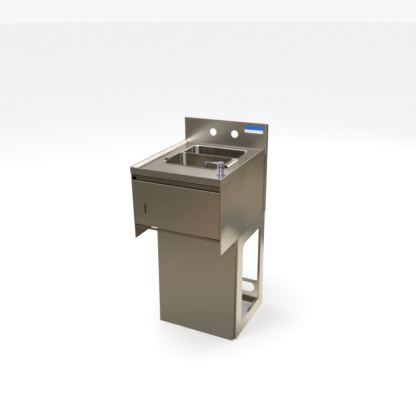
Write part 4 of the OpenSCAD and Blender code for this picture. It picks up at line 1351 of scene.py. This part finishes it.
def make_soap_collar():
    low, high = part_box("soap_collar")
    collar_r = half_width("soap_collar")
    guide_r = ROD_R + FIT
    guide_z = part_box("pump_housing")[1].z + GUIDE_GAP
    bore_r = half_width("pump_housing") + FIT
    groove_r = collar_r - COLLAR_GROOVE
    drops = zip((collar_r, groove_r, groove_r, collar_r), COLLAR_GROOVE_DROPS)
    profile = [(bore_r, low.z), (collar_r, low.z)]
    profile += [(radius, high.z - drop) for radius, drop in drops]
    profile += [(collar_r, high.z - COLLAR_CHAMFER), (collar_r - COLLAR_CHAMFER, high.z),
                (guide_r + GUIDE_CHAMFER, high.z), (guide_r, high.z - GUIDE_CHAMFER), (guide_r, guide_z),
                (bore_r, guide_z)]
    tube = turned_solid(profile, FINE_STEPS, closed=True)
    solid_piece("soap_neck", at_soap(tube), CHROME, ["soap_collar"], edge=0)


def make_soap_shank():
    """Threaded shank with its washer and nut."""
    low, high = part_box("soap_shank")
    shank_r = half_width("soap_shank")
    bore_r = half_width("pump_housing") + FIT
    profile = [(bore_r, low.z), (shank_r - SHANK_TIP, low.z)]
    for turn in range(int((high.z - low.z - SHANK_UNCUT) / SHANK_PITCH)):
        profile += [(shank_r - inward, low.z + turn * SHANK_PITCH + up) for inward, up in SHANK_TEETH]
    profile += [(shank_r, high.z - SHANK_PLAIN), (shank_r, high.z), (bore_r, high.z)]
    solid_piece("soap_thread", at_soap(turned_solid(profile, ROUND_STEPS, closed=True)), WHITE_PLASTIC,
                ["soap_shank"], edge=0)
    low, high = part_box("soap_washer")
    ring = turned_solid(ring_profile(shank_r + FIT, half_width("soap_washer"), low.z, high.z, WASHER_EDGE),
                        ROUND_STEPS, closed=True)
    solid_piece("soap_seal", at_soap(ring), RUBBER, ["soap_washer"], edge=0)
    low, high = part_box("soap_locknut")
    nut = hex_ring(min(high.x - low.x, high.y - low.y), 2 * (shank_r + FIT), low.z, high.z)
    solid_piece("soap_nut", at_soap(nut), WHITE_PLASTIC, ["soap_locknut"],
                edge=SOAP_NUT_EDGE)


NECK_R = 0.0145
NECK_BORE_R = 0.01256
NECK_H = 0.016
BOTTLE_WALL = 0.0012
BOTTLE_STEPS = 6
SHOULDER_R = 0.004
SHOULDER_TURN = 0.8
SHOULDER_DROP = 0.005
FOOT_R = 0.005
FOOT_IN_R = 0.006
BASE_R = 0.010
BASE_RIM_R = 0.014
BASE_RISE = 0.0015
BASE_WALL = 0.001
NECK_ROOT = 0.0016
NECK_ROOT_DROP = 0.001
NECK_STEP = 0.0004
RIB_COUNT = 4
RIB_START = 0.002
RIB_PITCH = 0.0032
RIB_TEETH = ((0.0002, 0.0), (0.0, 0.0004), (0.0, 0.0022), (0.0002, 0.0026))


def make_bottle():
    low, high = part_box("soap_bottle")
    bottle_r = half_width("soap_bottle")
    shoulder = high.z - NECK_H
    body_top = shoulder - NECK_H
    inner_r = bottle_r - BOTTLE_WALL
    shares = [step / BOTTLE_STEPS for step in range(BOTTLE_STEPS + 1)]
    middle_r, middle_z = bottle_r - SHOULDER_R, body_top - SHOULDER_R
    round_up = [(middle_r + SHOULDER_R * cos(angle), middle_z + SHOULDER_R * sin(angle))
                for angle in (pi / 2 * SHOULDER_TURN * share for share in shares)]
    foot = [(bottle_r - FOOT_R + FOOT_R * cos(angle), low.z + FOOT_R + FOOT_R * sin(angle))
            for angle in (-pi / 2 + pi / 2 * share for share in shares)]
    outside = [(BASE_R, low.z + BASE_RISE), (BASE_RIM_R, low.z)] + foot + round_up
    outside += [(NECK_R + NECK_ROOT, shoulder - NECK_ROOT_DROP), (NECK_R + NECK_STEP, shoulder)]
    for rib in range(RIB_COUNT):
        start = shoulder + RIB_START + rib * RIB_PITCH
        outside += [(NECK_R - inward, start + up) for inward, up in RIB_TEETH]
    outside += [(NECK_R, high.z - NECK_STEP), (NECK_R - NECK_STEP, high.z), (NECK_BORE_R, high.z)]
    inside = [(NECK_BORE_R, shoulder), (inner_r - SHOULDER_R, body_top - BOTTLE_WALL),
              (inner_r, body_top - SHOULDER_DROP), (inner_r, low.z + FOOT_IN_R),
              (bottle_r - FOOT_IN_R, low.z + BOTTLE_WALL + BASE_WALL),
              (BASE_R, low.z + BASE_RISE + BOTTLE_WALL)]
    profile = [(0, low.z + BASE_RISE)] + outside + inside + [(0, low.z + BASE_RISE + BOTTLE_WALL)]
    solid_piece("bottle", at_soap(turned_solid(profile, FINE_STEPS)), WHITE_PLASTIC,
                ["soap_bottle"], edge=0)


SLEEVE_BORE_R = 0.0113
SLEEVE_EDGE = 0.0004
SLEEVE_GROOVE = 0.0006
SLEEVE_GROOVE_UP = 0.0045
CAP_GAP = 0.0001
CAP_BROW = 0.0018
CAP_STEPS = 5
CAP_DISH = 0.0006
CAP_RIM_SHARE = 0.72
CAP_DISH_SHARE = 0.66
NOZZLE_R = 0.0024
NOZZLE_DROP = 0.007
NOZZLE_BEND = 0.006
NOZZLE_TAPER = 0.85
NOZZLE_ROOT = 0.002
NOZZLE_STEPS = 28
NOZZLE_BEND_STEPS = 8
NOZZLE_WALL = 0.0006
NOZZLE_BORE = 0.004


def make_pump_sleeve():
    low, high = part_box("pump_skirt")
    sleeve_r = half_width("pump_skirt")
    groove_z = low.z + SLEEVE_GROOVE_UP
    groove_r = sleeve_r - SLEEVE_GROOVE
    profile = [(SLEEVE_BORE_R, low.z), (sleeve_r - SLEEVE_EDGE, low.z), (sleeve_r, low.z + SLEEVE_EDGE),
               (sleeve_r, groove_z), (groove_r, groove_z + SLEEVE_GROOVE),
               (groove_r, groove_z + 2 * SLEEVE_GROOVE), (sleeve_r, groove_z + 3 * SLEEVE_GROOVE),
               (sleeve_r, high.z), (SLEEVE_BORE_R, high.z)]
    tube = turned_solid(profile, FINE_STEPS, closed=True)
    solid_piece("pump_sleeve", at_soap(tube), CHROME, ["pump_skirt"], "pump_head", edge=0)


def make_spout(head_r):
    """Nozzle along -X that tapers, bends down and ends in an open mouth."""
    low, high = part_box("pump_head")
    reach = SOAP.x - low.x - NOZZLE_R
    z = high.z - NOZZLE_DROP + NOZZLE_R
    root = head_r - NOZZLE_ROOT
    spout = bmesh.new()
    start = circle_loop(spout, (-root, 0, z), NOZZLE_R / NOZZLE_TAPER, (1, 0, 0), NOZZLE_STEPS)
    made = bmesh.ops.extrude_edge_only(spout, edges=start)["geom"]
    fresh = verts_of(made)
    bmesh.ops.translate(spout, vec=(-(reach - NOZZLE_BEND - root), 0, 0), verts=fresh)
    bmesh.ops.scale(spout, vec=(1, NOZZLE_TAPER, NOZZLE_TAPER), space=Matrix.Translation((0, 0, -z)),
                    verts=fresh)
    ring = edges_between(made, fresh)
    centre = (-(reach - NOZZLE_BEND), 0, z - NOZZLE_BEND)
    made = bmesh.ops.spin(spout, geom=fresh + ring, cent=centre, axis=(0, 1, 0), dvec=(0, 0, 0),
                          angle=-pi / 2, steps=NOZZLE_BEND_STEPS, use_merge=False, use_normal_flip=False,
                          use_duplicate=False)["geom_last"]
    made = bmesh.ops.extrude_edge_only(spout, edges=edges_of(made))["geom"]
    fresh = verts_of(made)
    bmesh.ops.translate(spout, vec=(0, 0, low.z - z + NOZZLE_BEND), verts=fresh)
    tip = edges_between(made, fresh)
    bmesh.ops.contextual_create(spout, geom=start)
    mouth = bmesh.ops.contextual_create(spout, geom=tip)["faces"]
    bmesh.ops.inset_individual(spout, faces=mouth, thickness=NOZZLE_WALL, depth=0)
    inside = bmesh.ops.extrude_discrete_faces(spout, faces=mouth)["faces"]
    bmesh.ops.translate(spout, vec=(0, 0, NOZZLE_BORE), verts=inside[0].verts)
    return spout


def make_pump_cap():
    head_r = half_width("pump_skirt")
    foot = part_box("pump_skirt")[1].z + CAP_GAP
    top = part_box("pump_head")[1].z
    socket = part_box("pump_rod")[1].z + CAP_GAP
    socket_r = ROD_R + FIT
    brow = [(head_r - CAP_BROW + CAP_BROW * cos(angle), top - CAP_BROW + CAP_BROW * sin(angle))
            for angle in (pi / 2 * step / CAP_STEPS for step in range(CAP_STEPS + 1))]
    profile = [(0, socket), (socket_r, socket), (socket_r, foot), (head_r, foot)] + brow + [
        (head_r * CAP_RIM_SHARE, top), (head_r * CAP_DISH_SHARE, top - CAP_DISH), (0, top - CAP_DISH)]
    cap = join([turned_solid(profile, FINE_STEPS), make_spout(head_r)])
    solid_piece("pump_cap", at_soap(cap), CHROME, ["pump_head"], "pump_head", edge=0)


# Plain two-tone plate on the splash

PLATE_LEFT = 0.097
PLATE_RIGHT = 0.179
PLATE_UP = (0.058, 0.087)
PLATE_LOW, PLATE_TOP = (RIM + up for up in PLATE_UP)
PLATE_BAND = 0.45
PLATE_T = 0.0004
PLATE_CORNER = 0.0018
PLATE_EDGE = 0.0001


def make_plate():
    bm = bmesh.new()
    y = SPLASH_Y - PLATE_T
    corners = [(x, y, z) for x, z in ((PLATE_LEFT, PLATE_LOW), (PLATE_RIGHT, PLATE_LOW),
                                      (PLATE_RIGHT, PLATE_TOP), (PLATE_LEFT, PLATE_TOP))]
    edges = wire_loop(bm, corners, PLATE_CORNER, BEND_STEPS)
    bmesh.ops.contextual_create(bm, geom=edges)
    band_z = PLATE_LOW + (PLATE_TOP - PLATE_LOW) * PLATE_BAND
    bmesh.ops.bisect_plane(bm, geom=bm.verts[:] + bm.edges[:] + bm.faces[:], plane_co=(0, y, band_z),
                           plane_no=(0, 0, 1))
    for face in bm.faces:
        face.material_index = 0 if face.calc_center_median().z > band_z else 1
    sheet_piece("maker_plate", bm, FROM_FRONT, [PLATE_BLUE, PLATE_WHITE], [],
                thickness=PLATE_T, edge=PLATE_EDGE)


# All the pieces

CATCH_EDGE = 0.0008

make_deck()
make_splash()
make_cove()
for side, name in ((-1, "left"), (1, "right")):
    make_side_panel(side, name)
    make_leg_frame(side, name)
    eased_node("rear_stile_" + name, STILE_STEEL)
make_bowl()
make_basket()
make_basket_tabs()
make_door()
make_rail()
make_tray()
eased_node("towel_box_back", STILE_STEEL)
eased_node("towel_divider", STILE_STEEL)
eased_node("door_pivot_pins", ZINC)
eased_node("door_catch", MAGNET_BLACK, CATCH_EDGE)
make_pedestal_front()
make_front_crossmember()
make_rear_crossmember()
make_studs("lap", "frame_studs", "frame_nuts", count=3, length=0.012, nut_flats=0.0092, nut_h=0.004)
make_studs("tray", "tray_studs", "tray_nuts", count=2, length=0.006, nut_flats=0.007, nut_h=0.003)
make_drain_flange()
make_drain_rings()
make_tail_pipe()
make_soap_flange()
make_soap_collar()
make_soap_shank()
make_bottle()
make_pump_sleeve()
make_pump_cap()
make_plate()

# Frame nodes that are shown as they are
for node, material in (("pump_housing", WHITE_PLASTIC), ("dip_tube", WHITE_PLASTIC), ("pump_spring", ZINC),
                       ("pump_rod", CHROME)):
    NODES[node].data.materials.clear()
    NODES[node].data.materials.append(material)


# Studio

PALE = 0.93


def mirrored_only(tree, plain, mirrored):
    """Shows one shader to mirror rays and the other to the rest."""
    path = add_node(tree, "ShaderNodeLightPath")
    mix = add_node(tree, "ShaderNodeMixShader", None, i0=path.outputs["Is Glossy Ray"])
    tree.links.new(plain, mix.inputs[1])
    tree.links.new(mirrored, mix.inputs[2])
    return mix.outputs[0]


def grade(tree, value, stops):
    """Colour ramp with a stop for each pair of place and colour."""
    node = add_node(tree, "ShaderNodeValToRGB", None, Fac=value)
    elements = node.color_ramp.elements
    elements[0].color = (*stops[0][1], 1)
    elements[1].color = (*stops[-1][1], 1)
    for place, colour in stops[1:-1]:
        elements.new(place).color = (*colour, 1)
    return node.outputs["Color"]


FLOOR_SIZE = 60
FLOOR_CENTRE = (0.4, 0.4, 0)
FLOOR_REACH = 4.0
FLOOR_STOPS = (
    (0.0, (1.0, 0.95, 0.86)), (0.09, (0.98, 0.92, 0.8)), (0.115, (0.58, 0.51, 0.4)),
    (0.135, (0.24, 0.235, 0.2)), (0.17, (0.24, 0.235, 0.19)), (0.27, (0.38, 0.32, 0.24)),
    (0.4, (0.35, 0.3, 0.215)), (0.55, (0.15, 0.132, 0.085)), (1.0, (0.13, 0.12, 0.09)))
PATCH_AHEAD = (-1.0, -1.5)
PATCH_RIGHT = (-0.75, -0.35)
PATCH_COLOUR = (0.38, 0.24, 0.17, 1)


def make_floor():
    """Pale floor, which mirror sides see glowing: a warm light that darkens away from the sink."""
    bpy.ops.mesh.primitive_plane_add(size=FLOOR_SIZE)
    floor = bpy.context.object
    floor.name = "studio_floor"
    material = bpy.data.materials.new("studio floor")
    material.use_nodes = True
    tree = material.node_tree
    tree.nodes.clear()
    place = add_node(tree, "ShaderNodeTexCoord").outputs["Object"]
    shifted = add_node(tree, "ShaderNodeVectorMath", {"operation": "SUBTRACT"}, i0=place,
                       i1=FLOOR_CENTRE).outputs[0]
    reach = add_node(tree, "ShaderNodeVectorMath", {"operation": "LENGTH"}, i0=shifted).outputs["Value"]
    fade = grade(tree, ramp(tree, reach, 0.0, FLOOR_REACH), FLOOR_STOPS)
    parts = add_node(tree, "ShaderNodeSeparateXYZ", None, i0=place)
    ahead = ramp(tree, parts.outputs["Y"], *PATCH_AHEAD)
    right = ramp(tree, parts.outputs["X"], *PATCH_RIGHT)
    warm = blend_colours(tree, multiply(tree, ahead, right), fade, PATCH_COLOUR)
    graded = add_node(tree, "ShaderNodeEmission", None, Color=warm, Strength=1.0)
    plain = add_node(tree, "ShaderNodeBsdfDiffuse", None, Color=(PALE, PALE, PALE, 1))
    out = tree.nodes.new("ShaderNodeOutputMaterial")
    tree.links.new(mirrored_only(tree, plain.outputs[0], graded.outputs[0]), out.inputs["Surface"])
    floor.data.materials.append(material)


CARD_Y = 2.5
CARD_LEFT = -1.7
CARD_RIGHT = 2.5
CARD_LOW = 1.38
CARD_HIGH = 4.5
CARD_STRENGTH = 1.5
CARD_STOPS = (
    (0.0, (0.33, 0.3, 0.28)), (0.18, (0.75, 0.73, 0.72)), (0.21, (0.75, 0.73, 0.72)),
    (0.28, (0.14, 0.12, 0.1)), (0.5, (0.14, 0.12, 0.1)), (0.58, (1, 1, 1)), (1.0, (1, 1, 1)))


def make_card():
    """Bright wall behind the sink that only its mirror sides see."""
    bm = bmesh.new()
    bm.faces.new([bm.verts.new((x, CARD_Y, z)) for x, z in (
        (CARD_LEFT, CARD_LOW), (CARD_RIGHT, CARD_LOW), (CARD_RIGHT, CARD_HIGH), (CARD_LEFT, CARD_HIGH))])
    mesh = bpy.data.meshes.new("bright_card")
    bm.to_mesh(mesh)
    bm.free()
    card = bpy.data.objects.new("bright_card", mesh)
    SCENE.collection.objects.link(card)
    material = bpy.data.materials.new("bright card")
    material.use_nodes = True
    tree = material.node_tree
    tree.nodes.clear()
    place = add_node(tree, "ShaderNodeTexCoord").outputs["Object"]
    parts = add_node(tree, "ShaderNodeSeparateXYZ", None, i0=place)
    across = ramp(tree, parts.outputs["X"], CARD_LEFT, CARD_RIGHT)
    glow = add_node(tree, "ShaderNodeEmission", None, Strength=CARD_STRENGTH,
                    Color=grade(tree, across, CARD_STOPS))
    clear = add_node(tree, "ShaderNodeBsdfTransparent")
    out = tree.nodes.new("ShaderNodeOutputMaterial")
    tree.links.new(mirrored_only(tree, clear.outputs[0], glow.outputs[0]), out.inputs["Surface"])
    mesh.materials.append(material)
    card.visible_shadow = False


ROOM_BEHIND = (
    (0.0, (0.42, 0.37, 0.33)), (0.25, (0.56, 0.49, 0.45)), (0.5, (0.6, 0.56, 0.52)),
    (1.0, (0.85, 0.85, 0.85)))
ROOM_AHEAD = (
    (0.0, (0.3, 0.27, 0.22)), (0.2, (0.62, 0.56, 0.5)), (0.45, (0.6, 0.56, 0.52)),
    (1.0, (0.85, 0.85, 0.85)))
ROOM_TURN = (-0.3, 0.3)
LIGHT_WAY = Vector((0.35, -0.80, 0.47)).normalized()
LIGHT_MATCH = (0.94, 0.97)
LIGHT_COLOUR = (5.6, 5.6, 5.8, 1)
CORNER_WAY = Vector((0.82, 0.43, 0.37)).normalized()
CORNER_MATCH = (0.96, 0.98)
CORNER_COLOUR = (2.6, 2.6, 2.6, 1)
SOFT_COLOUR = (0.98, 0.99, 1.0, 1)
SOFT_STRENGTH = 0.95


def make_world():
    """Room that mirror sides see, with one bright window and a light patch to each side. Other rays see
    plain soft light, and the camera a pale backdrop."""
    world = bpy.data.worlds.new("studio")
    SCENE.world = world
    world.use_nodes = True
    tree = world.node_tree
    tree.nodes.clear()
    way = add_node(tree, "ShaderNodeTexCoord").outputs["Generated"]
    parts = add_node(tree, "ShaderNodeSeparateXYZ", None, i0=way)
    behind = grade(tree, parts.outputs["Z"], ROOM_BEHIND)
    ahead = grade(tree, parts.outputs["Z"], ROOM_AHEAD)
    room = blend_colours(tree, ramp(tree, parts.outputs["Y"], *ROOM_TURN), ahead, behind)
    window = ramp(tree, matched(tree, way, LIGHT_WAY), *LIGHT_MATCH)
    folded = add_node(tree, "ShaderNodeVectorMath", {"operation": "ABSOLUTE"}, i0=way).outputs[0]
    corners = ramp(tree, matched(tree, folded, CORNER_WAY), *CORNER_MATCH)
    lit = blend_colours(tree, window, room, LIGHT_COLOUR)
    lit = blend_colours(tree, corners, lit, CORNER_COLOUR)
    mirrored = add_node(tree, "ShaderNodeBackground", None, Color=lit, Strength=1.0)
    soft = add_node(tree, "ShaderNodeBackground", None, Color=SOFT_COLOUR, Strength=SOFT_STRENGTH)
    seen = add_node(tree, "ShaderNodeBackground", None, Color=(PALE, PALE, PALE, 1), Strength=1.0)
    path = add_node(tree, "ShaderNodeLightPath")
    whole = add_node(tree, "ShaderNodeMixShader", None, i0=path.outputs["Is Camera Ray"])
    tree.links.new(mirrored_only(tree, soft.outputs[0], mirrored.outputs[0]), whole.inputs[1])
    tree.links.new(seen.outputs[0], whole.inputs[2])
    out = tree.nodes.new("ShaderNodeOutputWorld")
    tree.links.new(whole.outputs[0], out.inputs["Surface"])


def soft_light(name, place, target, size, power, colour=(1, 1, 1)):
    data = bpy.data.lights.new(name, "AREA")
    data.shape = "RECTANGLE"
    data.size, data.size_y = size
    data.energy = power
    data.color = colour
    lamp = bpy.data.objects.new(name, data)
    SCENE.collection.objects.link(lamp)
    lamp.visible_glossy = False
    way = Vector(target) - Vector(place)
    lamp.matrix_world = Matrix.Translation(place) @ way.to_track_quat("-Z", "Y").to_matrix().to_4x4()


def make_lights():
    soft_light("top softbox", place=(-0.4, -0.4, 3.0), target=(0, 0, 0.6), size=(2.2, 2.2), power=26)
    soft_light("front softbox", place=(-1.8, -2.4, 2.4), target=(0, 0, 0.5), size=(1.4, 1.4), power=18)
    soft_light("back right softbox", place=(1.6, 2.6, 1.6), target=(0, 0, 0.7), size=(2.0, 1.6), power=14,
               colour=(1, 0.96, 0.94))


CAMERA_PLACE = Vector((0.8941, -1.7933, 1.3595))
YAW = radians(27.797)
PITCH = radians(21.81)
ROLL = radians(-1.342)
FOCAL_PX = 514.522
CENTRE_PX = (192.591, 205.67)
IMAGE_PX = 416
SENSOR_MM = 36
CLIP_END = 100


def make_camera():
    data = bpy.data.cameras.new("view")
    data.sensor_width = SENSOR_MM
    data.lens = FOCAL_PX / IMAGE_PX * SENSOR_MM
    data.shift_x = (IMAGE_PX / 2 - CENTRE_PX[0]) / IMAGE_PX
    data.shift_y = (CENTRE_PX[1] - IMAGE_PX / 2) / IMAGE_PX
    data.clip_end = CLIP_END
    forward = Vector((-sin(YAW) * cos(PITCH), cos(YAW) * cos(PITCH), -sin(PITCH)))
    level = Vector((cos(YAW), sin(YAW), 0))
    upright = level.cross(forward)
    right = level * cos(ROLL) + upright * sin(ROLL)
    up = right.cross(forward)
    turn = Matrix((right, up, -forward)).transposed().to_4x4()
    camera = bpy.data.objects.new("view", data)
    camera.matrix_world = Matrix.Translation(CAMERA_PLACE) @ turn
    SCENE.collection.objects.link(camera)
    SCENE.camera = camera


make_floor()
make_card()
make_world()
make_lights()
make_camera()
SCENE.view_settings.view_transform = "Standard"
